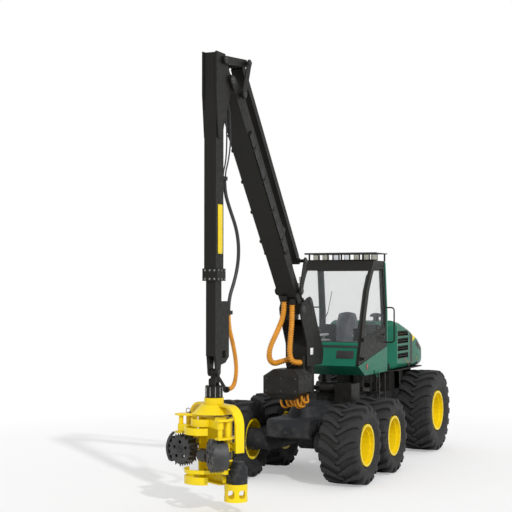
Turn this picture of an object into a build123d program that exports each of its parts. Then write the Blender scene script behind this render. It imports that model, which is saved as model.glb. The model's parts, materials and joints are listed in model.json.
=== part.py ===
from build123d import *
import math
import os

# Forestry harvester: six wheels, hinged at its waist, with a crane in front of the cab.
# Millimetres. +Z up, the machine faces -Y, +X is its left side. The ground is z = 0.

# Driving sizes of the carrier
BOGIE_Y = -191  # middle of the front bogie
WHEEL_STEP = 743  # a bogie wheel ahead of or behind the bogie's middle
REAR_AXLE = 4067  # rear axle behind the bogie's middle
WAIST = 2600  # steering hinge behind the bogie's middle
SLEW = -250  # crane's turning centre behind the bogie's middle
CLEAR = 6  # gap between pieces that move past each other
SEAT_GAP = 0.3  # gap at a running seat

# Tyres and rims
FRONT_R = 680
FRONT_X = 1071  # middle of a front tyre
REAR_R = 829
REAR_X = 930
TYRE_W = 700
FRONT_RIM_R = 362
REAR_RIM_R = 407
RIM_HALF = 300
RIM_FLANGE = 22
RIM_LIP_W = 26
RIM_WALL = 18
RIM_SIDES = 20
LUG_H = 45
LUG_W = 74
LUG_COUNT = 16
LUG_ROOT = 90  # how far a lug starts below the tread
DISC_IN = 140  # wheel disc's inner face, inwards of the tyre's middle
DISC_T = 24
HUB_R = 195
HUB_IN = 690  # bogie case's outer face


def aft(distance):
    """The y of a point that lies this far behind the middle of the front bogie."""
    return BOGIE_Y + distance


def placed(points):
    """Side-view points, (behind the bogie, height), in the part's frame."""
    return [(aft(y), z) for y, z in points]


def side_plate(points, x_from, x_to, mode=Mode.ADD):
    """A plate cut to a side-view outline, from one x to the other."""
    with BuildSketch(Plane.YZ.offset(x_from)) as outline:
        with BuildLine():
            Polyline(*placed(points), close=True)
        make_face()
    extrude(outline.sketch, amount=x_to - x_from, mode=mode)


def side_pair(points, x_in, x_out, mode=Mode.ADD):
    """Two like plates, one on each side of the middle plane."""
    side_plate(points, x_in, x_out, mode)
    side_plate(points, -x_out, -x_in, mode)


def floor_plate(points, z_from, z_to, mode=Mode.ADD):
    """A plate cut to a plan-view outline, (x, behind the bogie)."""
    with BuildSketch(Plane.XY.offset(z_from)) as outline:
        with BuildLine():
            Polyline(*[(x, aft(y)) for x, y in points], close=True)
        make_face()
    extrude(outline.sketch, amount=z_to - z_from, mode=mode)


def front_plate(points, y_from, y_to, mode=Mode.ADD):
    """A plate cut to a front-view outline, (x, z), from one y to the other."""
    with BuildSketch(Plane.XZ.offset(-aft(y_to))) as outline:
        with BuildLine():
            Polyline(*points, close=True)
        make_face()
    extrude(outline.sketch, amount=y_to - y_from, mode=mode)


def cross_bar(y, z, radius, x_from, x_to, mode=Mode.ADD):
    """A round bar along x."""
    with BuildSketch(Plane.YZ.offset(x_from)) as section:
        with Locations((aft(y), z)):
            Circle(radius)
    extrude(section.sketch, amount=x_to - x_from, mode=mode)


def side_bar(start, end, width, x_from, x_to, mode=Mode.ADD):
    """A square-ended bar between two side-view points."""
    dy, dz = end[0] - start[0], end[1] - start[1]
    length = math.hypot(dy, dz)
    ny, nz = -dz / length * width / 2, dy / length * width / 2
    side_plate(
        [
            (start[0] + ny, start[1] + nz),
            (end[0] + ny, end[1] + nz),
            (end[0] - ny, end[1] - nz),
            (start[0] - ny, start[1] - nz),
        ],
        x_from,
        x_to,
        mode,
    )


def block(x_from, x_to, y_from, y_to, z_from, z_to, mode=Mode.ADD):
    """A rectangular block between two corners, y counted behind the bogie."""
    with Locations(((x_from + x_to) / 2, aft((y_from + y_to) / 2), (z_from + z_to) / 2)):
        Box(x_to - x_from, y_to - y_from, z_to - z_from, mode=mode)


def tube_between(start, end, radius, mode=Mode.ADD):
    """A round bar between two points of the part's frame."""
    direction = Vector(*end) - Vector(*start)
    with BuildSketch(Plane(origin=start, z_dir=direction)) as section:
        Circle(radius)
    extrude(section.sketch, amount=direction.length, mode=mode)


def save(piece, label):
    piece.part.label = label
    export_step(piece.part, f"parts/{label}.step")


os.makedirs("parts", exist_ok=True)


# Wheels: a faceted carcass with two staggered rows of slanted lugs, on a deep-dished rim.
# Each kind is made once about its own middle, outer face towards +X, then set in place.
def polygon_ring(stations, sides, mode=Mode.ADD):
    """A ruled loft through regular polygons across the x axis, stations being (x, radius)."""
    sections = []
    for x, radius in stations:
        with BuildSketch(Plane(origin=(x, 0, 0), x_dir=(0, 1, 0), z_dir=(1, 0, 0))) as section:
            RegularPolygon(radius, sides)
        sections.append(section.sketch.face())
    loft(sections, ruled=True, mode=mode)


def make_tyre(radius, rim_radius):
    """The lugs of each row start at a shoulder and lean so that their inner ends lead."""
    half = TYRE_W / 2
    tread = radius - LUG_H
    bead = rim_radius - RIM_FLANGE
    waist_r = rim_radius + 0.36 * (radius - rim_radius)
    flat = math.cos(math.pi / LUG_COUNT)
    lean = 0.26 * 2 * math.pi * radius / LUG_COUNT
    lug_top = math.sqrt(radius**2 - (lean + LUG_W / 2) ** 2)
    rows = []
    for row, side in enumerate((-1, 1)):
        turned = [
            Plane.XY.rotated((360 * (index + 0.5 * row) / LUG_COUNT, 0, 0)) for index in range(LUG_COUNT)
        ]
        with BuildSketch(*[plane.offset(tread - LUG_ROOT) for plane in turned]) as lugs:
            with BuildLine():
                Polyline(
                    (side * 20, lean + LUG_W / 2),
                    (side * 20, lean - LUG_W / 2),
                    (side * (half - 8), -lean - LUG_W / 2),
                    (side * (half - 8), -lean + LUG_W / 2),
                    close=True,
                )
            make_face()
        rows.append(lugs.sketch)
    lip = RIM_HALF - RIM_LIP_W
    profile = [(lip, bead + 42), (half - 12, waist_r), (half - 40, tread - 60), (half - 120, tread - 8)]
    carcass = [(-x, r) for x, r in profile] + list(reversed(profile))
    with BuildPart() as tyre:
        polygon_ring([(x, r / flat) for x, r in carcass], LUG_COUNT)
        extrude([face for row in rows for face in row.faces()], amount=lug_top - tread + LUG_ROOT)
        polygon_ring([(-half, bead), (half, bead)], RIM_SIDES, mode=Mode.SUBTRACT)
        for near, far in ((-half, -lip), (lip, half)):
            polygon_ring([(near, rim_radius + 3), (far, rim_radius + 3)], RIM_SIDES, mode=Mode.SUBTRACT)
    return tyre.part


def make_rim(rim_radius):
    """A rolled rim with a step inside its outer edge, and a disc set deep in it."""
    bead = rim_radius - RIM_FLANGE
    inner = bead - RIM_WALL
    step_x = RIM_HALF - 70
    disc_out = DISC_T - DISC_IN
    with BuildPart() as rim:
        polygon_ring([(-RIM_HALF, bead), (RIM_HALF, bead)], RIM_SIDES)
        for edge in (-RIM_HALF, RIM_HALF - RIM_LIP_W):
            polygon_ring([(edge, rim_radius), (edge + RIM_LIP_W, rim_radius)], RIM_SIDES)
        polygon_ring(
            [(disc_out, HUB_R + 20), (90, inner - 40), (step_x, inner - 40)], RIM_SIDES, mode=Mode.SUBTRACT
        )
        polygon_ring([(step_x, inner), (RIM_HALF, inner)], RIM_SIDES, mode=Mode.SUBTRACT)
        polygon_ring([(-RIM_HALF, inner), (-DISC_IN, inner)], RIM_SIDES, mode=Mode.SUBTRACT)
        polygon_ring([(disc_out, 95), (disc_out + 45, 80)], 10)
    return rim.part


def set_wheel(shape, x, y, z, label):
    """A left wheel stands as made, a right one is its mirror image."""
    with BuildPart() as piece:
        with Locations((x, y, z)):
            add(shape if x > 0 else mirror(shape, about=Plane.YZ, mode=Mode.PRIVATE))
    save(piece, label)


# name, side, behind the bogie, radius, x, rim radius
WHEELS = [
    ("front_left", 1, -WHEEL_STEP, FRONT_R, FRONT_X),
    ("front_right", -1, -WHEEL_STEP, FRONT_R, FRONT_X),
    ("middle_left", 1, WHEEL_STEP, FRONT_R, FRONT_X),
    ("middle_right", -1, WHEEL_STEP, FRONT_R, FRONT_X),
    ("rear_left", 1, REAR_AXLE, REAR_R, REAR_X),
    ("rear_right", -1, REAR_AXLE, REAR_R, REAR_X),
]
TYRES = {FRONT_R: make_tyre(FRONT_R, FRONT_RIM_R), REAR_R: make_tyre(REAR_R, REAR_RIM_R)}
RIMS = {FRONT_R: make_rim(FRONT_RIM_R), REAR_R: make_rim(REAR_RIM_R)}
for name, side, behind, radius, wheel_x in WHEELS:
    set_wheel(TYRES[radius], side * wheel_x, aft(behind), radius, f"tyre_{name}")
    set_wheel(RIMS[radius], side * wheel_x, aft(behind), radius, f"rim_{name}")

# Front frame: nose box, spine, bogie axle and the fork of the waist hinge
NOSE_HALF = 400
SPINE_HALF = 270
FORK_R = 170
PIN_R = 70
UPPER_FORK = (1190, 1270)
LOWER_FORK = (830, 910)
BOGIE_IN = 450
AXLE_Z = 700
AXLE_R = 140

# Towing lugs: a bored plate at the nose and another at the tail
TOW_BORE_R = 26
TOW_LUG_R = 60
TOW_REACH = 90
TOW_FRONT_Z = (850, 890)
TOW_REAR_Z = (1090, 1130)


def tow_lug(face, direction, z_from, z_to):
    """A bolted-on rounded plate standing out from a face, bored upright."""
    with BuildSketch(Plane.XY.offset(z_from)) as lug:
        with Locations((0, aft(face + direction * TOW_REACH))):
            Circle(TOW_LUG_R)
        with Locations((0, aft(face + direction * (SEAT_GAP + 5)))):
            Rectangle(200, 10)
        make_hull()
        with Locations((0, aft(face + direction * TOW_REACH))):
            Circle(TOW_BORE_R, mode=Mode.SUBTRACT)
    extrude(lug.sketch, amount=z_to - z_from)


SLEW_Z = 1395  # top of the slewing base, under the crane

# Steering cylinders lie flat beside the waist hinge, each held between two ears at either end
STEER_Z = 1050
STEER_FOOT = (380, 1800)  # x, behind the bogie
STEER_HEAD = (420, 2950)
STEER_PIN_R = 20
STEER_EARS = (975, 1110)  # undersides of the two ears
EAR_T = 15

with BuildPart() as front_frame:
    side_plate(
        [(-1000, 780), (-1000, 1030), (-940, 1070), (420, 1070), (520, 900), (420, 780), (-880, 740)],
        -NOSE_HALF,
        NOSE_HALF,
    )
    side_plate(
        [(250, 830), (250, 1070), (700, 1270), (2350, 1270), (2350, 1190), (2250, 910), (2350, 910),
         (2350, 830)],
        -SPINE_HALF,
        SPINE_HALF,
    )
    for low, high in (UPPER_FORK, LOWER_FORK):
        with BuildSketch(Plane.XY.offset(low)):
            with Locations((0, aft(WAIST))):
                Circle(FORK_R)
            with Locations((0, aft(2300))):
                Rectangle(2 * SPINE_HALF, 100)
            make_hull()
        extrude(amount=high - low)
    with BuildSketch(Plane.XY.offset(LOWER_FORK[0])):
        with Locations((0, aft(WAIST))):
            Circle(PIN_R)
    extrude(amount=UPPER_FORK[1] + 15 - LOWER_FORK[0])
    for x_from, x_to in ((-SPINE_HALF, -195), (195, SPINE_HALF)):
        block(x_from, x_to, 2060, 2352, LOWER_FORK[1], UPPER_FORK[0], mode=Mode.SUBTRACT)
    tow_lug(-1000, -1, *TOW_FRONT_Z)
    cross_bar(0, AXLE_Z, AXLE_R, -BOGIE_IN, BOGIE_IN)
    cross_bar(0, AXLE_Z - 10, 230, -150, 150)
    for side in (-1, 1):
        for low in STEER_EARS:
            floor_plate(
                [(side * 268, 1700), (side * 420, 1760), (side * 420, 1840), (side * 268, 1900)], low, low + EAR_T
            )
        with BuildSketch(Plane.XY.offset(STEER_EARS[0])) as steer_pin:
            with Locations((side * STEER_FOOT[0], aft(STEER_FOOT[1]))):
                Circle(STEER_PIN_R)
        extrude(steer_pin.sketch, amount=STEER_EARS[1] + EAR_T - STEER_EARS[0])
    slew_sections = []
    for height, radius in ((1070, 300), (1250, 225), (SLEW_Z, 225)):
        with BuildSketch(Plane.XY.offset(height)) as ring:
            with Locations((0, aft(SLEW))):
                Circle(radius)
        slew_sections.append(ring.sketch.face())
    loft(slew_sections, ruled=True)
save(front_frame, "front_frame")

with BuildPart() as bogie_cases:
    for side in (-1, 1):
        inner_x, outer_x = sorted((side * BOGIE_IN, side * HUB_IN))
        with BuildSketch(Plane.YZ.offset(inner_x)) as case_side:
            with Locations((aft(-WHEEL_STEP), FRONT_R), (aft(WHEEL_STEP), FRONT_R)):
                Circle(175)
            with Locations((aft(0), FRONT_R + 30)):
                Circle(235)
            make_hull()
        extrude(case_side.sketch, amount=outer_x - inner_x)
        disc_x = FRONT_X - DISC_IN - SEAT_GAP
        for behind in (-WHEEL_STEP, WHEEL_STEP):
            drum = sorted((side * HUB_IN, side * disc_x))
            cross_bar(behind, FRONT_R, HUB_R, drum[0], drum[1])
save(bogie_cases, "bogie_cases")

# Cab. Side-view lines run from the front lower corner up the leaning pillar to the roof.
CAB_HALF = 700
WALL = 40
PILLAR = 95
PILLAR_W = 60
CAB_FLOOR = 1730
CAB_REAR = 2345
ROOF_Z = 3890
FRONT_LINE = [(674, 1920), (842, 2400), (961, 2860), (1133, 3307), (1330, 3610), (1520, 3830)]
SILL_Z = 2300


def line_y(line, z):
    """The y of a side-view line at a height."""
    for (y0, z0), (y1, z1) in zip(line, line[1:]):
        if z0 <= z <= z1:
            return y0 + (y1 - y0) * (z - z0) / (z1 - z0)
    return line[-1][0]


def set_back(line, distance):
    return [(y + distance, z) for y, z in line]


def pillar_back(z):
    return line_y(FRONT_LINE, z) + PILLAR


SILL_Y = line_y(FRONT_LINE, SILL_Z)
WINDOW_FRONT_Z = 2370  # the side windows' lower edge rises towards the rear
WINDOW_REAR_Z = 2600
REAR_TOP_Y = 2230
REAR_WALL = 70

with BuildPart() as cab_tub:
    side_plate(
        [(674, 1920), (SILL_Y, SILL_Z), (SILL_Y + WALL, SILL_Z), (674 + WALL + 8, 1930)],
        -CAB_HALF + PILLAR_W,
        CAB_HALF - PILLAR_W,
    )
    side_plate(
        [(674, 1920), (722, 1930), (1050, 1775), (CAB_REAR, 1775), (CAB_REAR, CAB_FLOOR), (1037, CAB_FLOOR)],
        -CAB_HALF,
        CAB_HALF,
    )
    side_pair(
        [(722, 1930), (CAB_REAR, 2221), (CAB_REAR, CAB_FLOOR), (1037, CAB_FLOOR)], CAB_HALF - WALL, CAB_HALF
    )
save(cab_tub, "cab_tub")

PILLAR_FOOT = 1942

# The door's two hinges turn on one upright line beside the left pillar
HINGE_PIN = (CAB_HALF + 35, 850)  # x, behind the bogie
HINGE_PIN_R = 8
# height, lug on the pillar, arm on the door; plan outlines, (beyond the cab's side, behind the bogie)
DOOR_HINGES = [
    (2050, [(0, 745), (0, 795), (6, 800), (6, 866), (52, 866), (52, 834), (22, 745)],
     [(0, 836), (0, 960), (15, 960), (52, 862), (52, 836)]),
    (2400, [(0, 856), (0, 915), (30, 880), (52, 866), (52, 834), (20, 834)],
     [(0, 955), (0, 1050), (15, 1050), (52, 862), (52, 836), (18, 836), (6, 850), (6, 945)]),
]
# Handrails at the cab's rear corners, outside the swing of the hood
RAIL_R = 14
RAIL_Y = 2302
LUG_RISE = (17, 32)  # a hinge's lugs lie this far above and below its arm's middle
ARM_RISE = 12
ABOVE_FOOT = [(line_y(FRONT_LINE, PILLAR_FOOT), PILLAR_FOOT)] + FRONT_LINE[1:]


def hinge_pin(height, reach, radius, mode=Mode.ADD):
    with BuildSketch(Plane.XY.offset(height - reach)) as pin:
        with Locations((HINGE_PIN[0], aft(HINGE_PIN[1]))):
            Circle(radius)
    extrude(pin.sketch, amount=2 * reach, mode=mode)


with BuildPart() as cab_frame:
    side_pair(ABOVE_FOOT + list(reversed(set_back(ABOVE_FOOT, PILLAR))), CAB_HALF - PILLAR_W, CAB_HALF)
    roof_front = line_y(FRONT_LINE, 3700)
    side_plate(
        [(roof_front, 3700), (1520, 3830), (1560, ROOF_Z), (REAR_TOP_Y, ROOF_Z), (REAR_TOP_Y, 3790),
         (1560, 3790), (roof_front + 60, 3700)],
        -CAB_HALF,
        CAB_HALF,
    )
    side_plate(
        [(SILL_Y, SILL_Z), (SILL_Y + 22, SILL_Z + 60), (SILL_Y + 80, SILL_Z + 60), (SILL_Y + 60, SILL_Z)],
        -CAB_HALF + PILLAR_W,
        CAB_HALF - PILLAR_W,
    )
    side_plate(
        [(pillar_back(PILLAR_FOOT), PILLAR_FOOT), (CAB_REAR - REAR_WALL, 2226),
         (CAB_REAR - REAR_WALL, WINDOW_REAR_Z), (pillar_back(WINDOW_FRONT_Z), WINDOW_FRONT_Z)],
        -CAB_HALF,
        -CAB_HALF + WALL,
    )
    side_plate(
        [(CAB_REAR - REAR_WALL, 2221), (CAB_REAR - REAR_WALL, 2900), (REAR_TOP_Y - REAR_WALL, 3800),
         (REAR_TOP_Y, 3800), (CAB_REAR, 2900), (CAB_REAR, 2221)],
        -CAB_HALF,
        CAB_HALF,
    )
    side_plate(
        [(CAB_REAR - REAR_WALL, 1775), (CAB_REAR - REAR_WALL, 2221), (CAB_REAR, 2221), (CAB_REAR, 1775)],
        -CAB_HALF + WALL,
        CAB_HALF - WALL,
    )
    front_plate([(-590, 2640), (590, 2640), (590, 3700), (-590, 3700)], 2000, 2500, mode=Mode.SUBTRACT)
    for height, lug, arm in DOOR_HINGES:
        outline = [(CAB_HALF + x, y) for x, y in lug]
        floor_plate(outline, height - LUG_RISE[1], height - LUG_RISE[0])
        floor_plate(outline, height + LUG_RISE[0], height + LUG_RISE[1])
        hinge_pin(height, LUG_RISE[1], HINGE_PIN_R)
    for side in (-1, 1):
        reach = side * (CAB_HALF + 160)
        with BuildLine() as route:
            FilletPolyline(
                (side * CAB_HALF, aft(RAIL_Y), 2980),
                (reach, aft(RAIL_Y), 2980),
                (reach, aft(RAIL_Y), 2300),
                (side * CAB_HALF, aft(RAIL_Y), 2300),
                radius=60,
            )
        with BuildSketch(Plane(origin=route.line @ 0, z_dir=route.line % 0)) as rail_section:
            Circle(RAIL_R)
        sweep(rail_section.sketch, path=route.line)
save(cab_frame, "cab_frame")

# Door: its front edge follows the pillar, and its window shares the slanting lower edge
DOOR_TOP = 3784
DOOR_RAIL = 55
DOOR_GAP = 8  # behind the door, whose rear edge swings 2 mm back as it opens
door_rear = CAB_REAR - REAR_WALL - DOOR_GAP
door_top_rear = REAR_TOP_Y - REAR_WALL - DOOR_GAP
DOOR_HEEL = (838, 1976)  # the lower front corner is cut back to here, clear of the tub as it swings in
DOOR_ZS = [DOOR_HEEL[1], 2400, 2860, 3307, 3610, DOOR_TOP]
door_front = [(pillar_back(z) + CLEAR, z) for z in DOOR_ZS]
door_outline = door_front + [
    (door_top_rear, DOOR_TOP),
    (door_rear, 2900),
    (door_rear, 2216),
    (DOOR_HEEL[0] + 12, DOOR_HEEL[1] - 11),
    DOOR_HEEL,
]
window_top = DOOR_TOP - DOOR_RAIL
window_front = [(pillar_back(z) + CLEAR + DOOR_RAIL, z) for z in (WINDOW_FRONT_Z + 10, 2860, 3307, 3610)]
door_window = window_front + [
    (pillar_back(window_top) + CLEAR + DOOR_RAIL, window_top),
    (door_top_rear - DOOR_RAIL + 5, window_top),
    (door_rear - DOOR_RAIL, 2900),
    (door_rear - DOOR_RAIL, WINDOW_REAR_Z),
]
GLASS_T = 8
with BuildPart() as cab_door:
    side_plate(door_outline, CAB_HALF - WALL, CAB_HALF)
    side_plate(door_window, CAB_HALF - WALL, CAB_HALF, mode=Mode.SUBTRACT)
    block(CAB_HALF, CAB_HALF + 30, 2080, 2200, 2440, 2465)
    for height, lug, arm in DOOR_HINGES:
        floor_plate([(CAB_HALF + x, y) for x, y in arm], height - ARM_RISE, height + ARM_RISE)
        hinge_pin(height, ARM_RISE, HINGE_PIN_R + SEAT_GAP, mode=Mode.SUBTRACT)
save(cab_door, "cab_door")
with BuildPart() as door_glass:
    side_plate(door_window, CAB_HALF - 26, CAB_HALF - 26 + GLASS_T)
save(door_glass, "door_glass")

screen = [(line_y(FRONT_LINE, z), z) for z in (SILL_Z + 60, 2400, 2860, 3307, 3610, 3700)]
with BuildPart() as cab_glass:
    side_plate(
        set_back(screen, 20) + list(reversed(set_back(screen, 20 + GLASS_T))),
        -CAB_HALF + PILLAR_W,
        CAB_HALF - PILLAR_W,
    )
    side_plate(
        [(pillar_back(z), z) for z in (WINDOW_FRONT_Z, 2400, 2860, 3307, 3610, 3790)]
        + [(REAR_TOP_Y - REAR_WALL, 3790), (CAB_REAR - REAR_WALL, 2900), (CAB_REAR - REAR_WALL, WINDOW_REAR_Z)],
        -CAB_HALF + 15,
        -CAB_HALF + 15 + GLASS_T,
    )
    side_plate(
        [(2305, 2640), (2305, 2900), (2206, 3700), (2214, 3700), (2313, 2900), (2313, 2640)], -590, 590
    )
save(cab_glass, "cab_glass")

# Cab inside: the driver's place and the two side consoles
DRIVER_Y = 1700
with BuildPart() as cab_fittings:
    with BuildSketch(Plane.XY.offset(1775)):
        with Locations((0, aft(DRIVER_Y))):
            Circle(150)
    extrude(amount=260)
    block(-220, 220, DRIVER_Y - 230, DRIVER_Y + 230, 2035, 2110)
    side_pair(
        [(1150, 1775), (1150, 2250), (1300, 2330), (2230, 2330), (2230, 1775)], 380, CAB_HALF - WALL - 20
    )
save(cab_fittings, "cab_fittings")
with BuildPart() as driver_cushions:
    block(-245, 245, DRIVER_Y - 290, DRIVER_Y + 170, 2110, 2230)
    side_plate(
        [(DRIVER_Y + 172, 2110.3), (DRIVER_Y + 300, 2110.3), (DRIVER_Y + 400, 2800), (DRIVER_Y + 380, 2930),
         (DRIVER_Y + 300, 2930), (DRIVER_Y + 270, 2800)],
        -235,
        235,
    )
save(driver_cushions, "driver_cushions")

# Lamps over the cab, under a flat visor
VISOR_Z = 4030
with BuildPart() as roof_lamps:
    block(-745, 745, 1700, 2250, VISOR_Z, VISOR_Z + 20)
    for x in (-700, -240, 240, 700):
        side_plate([(1700, VISOR_Z), (1780, VISOR_Z), (1720, ROOF_Z), (1640, ROOF_Z)], x - 10, x + 10)
        side_plate([(2150, VISOR_Z), (2200, VISOR_Z), (2200, ROOF_Z), (2150, ROOF_Z)], x - 10, x + 10)
    block(-710, 710, 1655, 1700, 3945, 3965)
    for index in range(6):
        with BuildSketch(Plane.XZ.offset(-aft(1655))) as lamp:
            with Locations((220 * (index - 2.5), 3965)):
                RegularPolygon(62, 10)
        extrude(lamp.sketch, amount=75)
save(roof_lamps, "roof_lamps")

# Cab carrier, the machinery under the cab and the steps to its door
FRAME_TOP = UPPER_FORK[1] + SEAT_GAP
with BuildPart() as cab_carrier:
    side_pair(
        [(1000, FRAME_TOP), (2250, FRAME_TOP), (2200, 1420), (1150, 1420)], 200, 240
    )
    block(-620, 620, 1150, 1260, 1420, 1500)
    block(-620, 620, 2080, 2190, 1420, 1500)
    for x in (-560, 560):
        for y in (1205, 2135):
            with BuildSketch(Plane.XY.offset(1500)) as mount:
                with Locations((x, aft(y))):
                    RegularPolygon(60, 8)
            extrude(mount.sketch, amount=CAB_FLOOR - SEAT_GAP - 1500)
    block(290, 620, 520, 960, FRAME_TOP, 1600)
    side_plate([(520, FRAME_TOP), (900, FRAME_TOP), (900, 1500), (620, 1500)], -620, -290)
    block(-289.7, 289.7, 720, 960, FRAME_TOP, 1400)
    cross_bar(700, 1500, 80, -60, 289.7)
    for x in (620, 790):
        block(x - 10, x + 10, 1560, 1600, 760, CAB_FLOOR - SEAT_GAP)
        block(x - 10, x + 10, 1900, 1940, 760, CAB_FLOOR - SEAT_GAP)
    for z in (780, 1060, 1340):
        block(630, 780, 1570, 1930, z, z + 30)
save(cab_carrier, "cab_carrier")
# Rear frame: waist lug, a deep tray for the engine, the axle and its hubs
LUG_R = 140
REAR_HALF = 300
FRAME_END = 4745
with BuildPart() as rear_frame:
    with BuildSketch(Plane.XY.offset(LOWER_FORK[1] + CLEAR)) as waist_lug:
        with Locations((0, aft(WAIST))):
            Circle(LUG_R)
        with Locations((0, aft(2860))):
            Rectangle(440, 40)
        make_hull()
        with Locations((0, aft(WAIST))):
            Circle(PIN_R + SEAT_GAP, mode=Mode.SUBTRACT)
    extrude(waist_lug.sketch, amount=UPPER_FORK[0] - LOWER_FORK[1] - 2 * CLEAR)
    side_plate(
        [(2840, 860), (2840, 1240), (FRAME_END, 1240), (FRAME_END, 980), (4500, 860)], -REAR_HALF, REAR_HALF
    )
    side_plate([(2920, 920), (2920, 1250), (4640, 1250), (4640, 1000)], -250, 250, mode=Mode.SUBTRACT)
    for y in (3050, 4050):
        block(-251, 251, y, y + 60, 1180, 1260 - SEAT_GAP)
    cross_bar(REAR_AXLE, REAR_R, 125, -640, 640)
    cross_bar(REAR_AXLE, REAR_R, 215, -120, 120)
    drum_x = REAR_X - DISC_IN - SEAT_GAP
    cross_bar(REAR_AXLE, REAR_R, HUB_R, 640, drum_x)
    cross_bar(REAR_AXLE, REAR_R, HUB_R, -drum_x, -640)
    side_plate([(FRAME_END, 980), (FRAME_END, 1640), (FRAME_END + 55, 1640), (FRAME_END + 55, 980)], -420, 420)
    tow_lug(FRAME_END + 55, 1, *TOW_REAR_Z)
    for x in (-330, 330):
        with BuildSketch(Plane.YZ.offset(x - 15)) as bracket:
            with Locations((aft(FRAME_END + 30), 1750)):
                Circle(25)
            with Locations((aft(FRAME_END + 28), 1620)):
                Rectangle(54, 40)
            make_hull()
        extrude(bracket.sketch, amount=30)
    for side in (-1, 1):
        for low in STEER_EARS:
            floor_plate(
                [(side * 298, 2860), (side * 460, 2910), (side * 460, 2990), (side * 298, 3040)], low, low + EAR_T
            )
        for low, high in ((STEER_EARS[0], STEER_Z - 46), (STEER_Z + 46, STEER_EARS[1])):
            with BuildSketch(Plane.XY.offset(low)) as boss:
                with Locations((side * STEER_HEAD[0], aft(STEER_HEAD[1]))):
                    Circle(STEER_PIN_R + 5)
            extrude(boss.sketch, amount=high - low)
save(rear_frame, "rear_frame")

# Steering cylinders
STEER_R = 50
STEER_ROD_R = 28
STEER_BARREL = 720
STEER_ROD_IN = 385
steer_length = math.hypot(STEER_HEAD[0] - STEER_FOOT[0], STEER_HEAD[1] - STEER_FOOT[1])


def steer_point(side, distance):
    share = distance / steer_length
    x = STEER_FOOT[0] + (STEER_HEAD[0] - STEER_FOOT[0]) * share
    return (side * x, aft(STEER_FOOT[1] + (STEER_HEAD[1] - STEER_FOOT[1]) * share), STEER_Z)


for name, side in (("left", 1), ("right", -1)):
    with BuildPart() as steer_barrel:
        with BuildSketch(Plane.XY.offset(STEER_Z - 52)) as eye:
            with Locations(steer_point(side, 0)[:2]):
                Circle(44)
        extrude(eye.sketch, amount=104)
        tube_between(steer_point(side, 30), steer_point(side, STEER_BARREL), STEER_R)
        tube_between(
            steer_point(side, 75), steer_point(side, STEER_BARREL), STEER_ROD_R + SEAT_GAP, mode=Mode.SUBTRACT
        )
        with BuildSketch(Plane.XY.offset(STEER_Z - 60)) as eye_bore:
            with Locations(steer_point(side, 0)[:2]):
                Circle(STEER_PIN_R + SEAT_GAP)
        extrude(eye_bore.sketch, amount=120, mode=Mode.SUBTRACT)
    save(steer_barrel, f"steer_barrel_{name}")
    with BuildPart() as steer_rod:
        with BuildSketch(Plane.XY.offset(STEER_Z - 40)) as eye:
            with Locations(steer_point(side, steer_length)[:2]):
                Circle(46)
        extrude(eye.sketch, amount=80)
        tube_between(steer_point(side, STEER_ROD_IN), steer_point(side, steer_length - 20), STEER_ROD_R)
    save(steer_rod, f"steer_rod_{name}")

HOOD_Z = 1720
ENGINE_HALF = 245
hood_plan = [(-420, 2655), (420, 2655), (710, 2905), (710, 4640), (-710, 4640), (-710, 2905)]
with BuildPart() as rear_deck:
    floor_plate(hood_plan, HOOD_Z - 25, HOOD_Z - SEAT_GAP)
    block(-ENGINE_HALF - 30, ENGINE_HALF + 30, 2930, 4250, 1600, 1800, mode=Mode.SUBTRACT)
    side_pair([(2850, 1240), (3300, 1240), (3300, HOOD_Z - 25), (2850, HOOD_Z - 25)], 276, 299)
    side_pair([(4350, 1240), (4620, 1240), (4620, HOOD_Z - 25), (4350, HOOD_Z - 25)], 276, 299)
    side_pair([(2880, 1300), (3230, 1300), (3230, 1600), (3150, 1694), (2880, 1694)], 299.3, 560)
save(rear_deck, "rear_deck")
with BuildPart() as engine_block:
    block(-ENGINE_HALF, ENGINE_HALF, 3000, 4150, 1260, 2150)
save(engine_block, "engine_block")


# Hood: one shell from the waist to the tail, its front corners cut back for the steering
def hood_loft(stations, inset, bottom, mode=Mode.ADD):
    """Stations are (behind the bogie, half width, top, corner radius)."""
    sections = []
    for y, half, top, corner in stations:
        height = top - inset - bottom
        with BuildSketch(Plane.XZ.offset(-aft(y))) as section:
            with Locations((0, bottom + height / 2)):
                Rectangle(2 * (half - inset), height)
            fillet(section.vertices().group_by(Axis.Z)[-1], corner)
        sections.append(section.sketch.face())
    loft(sections, ruled=True, mode=mode)


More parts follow.
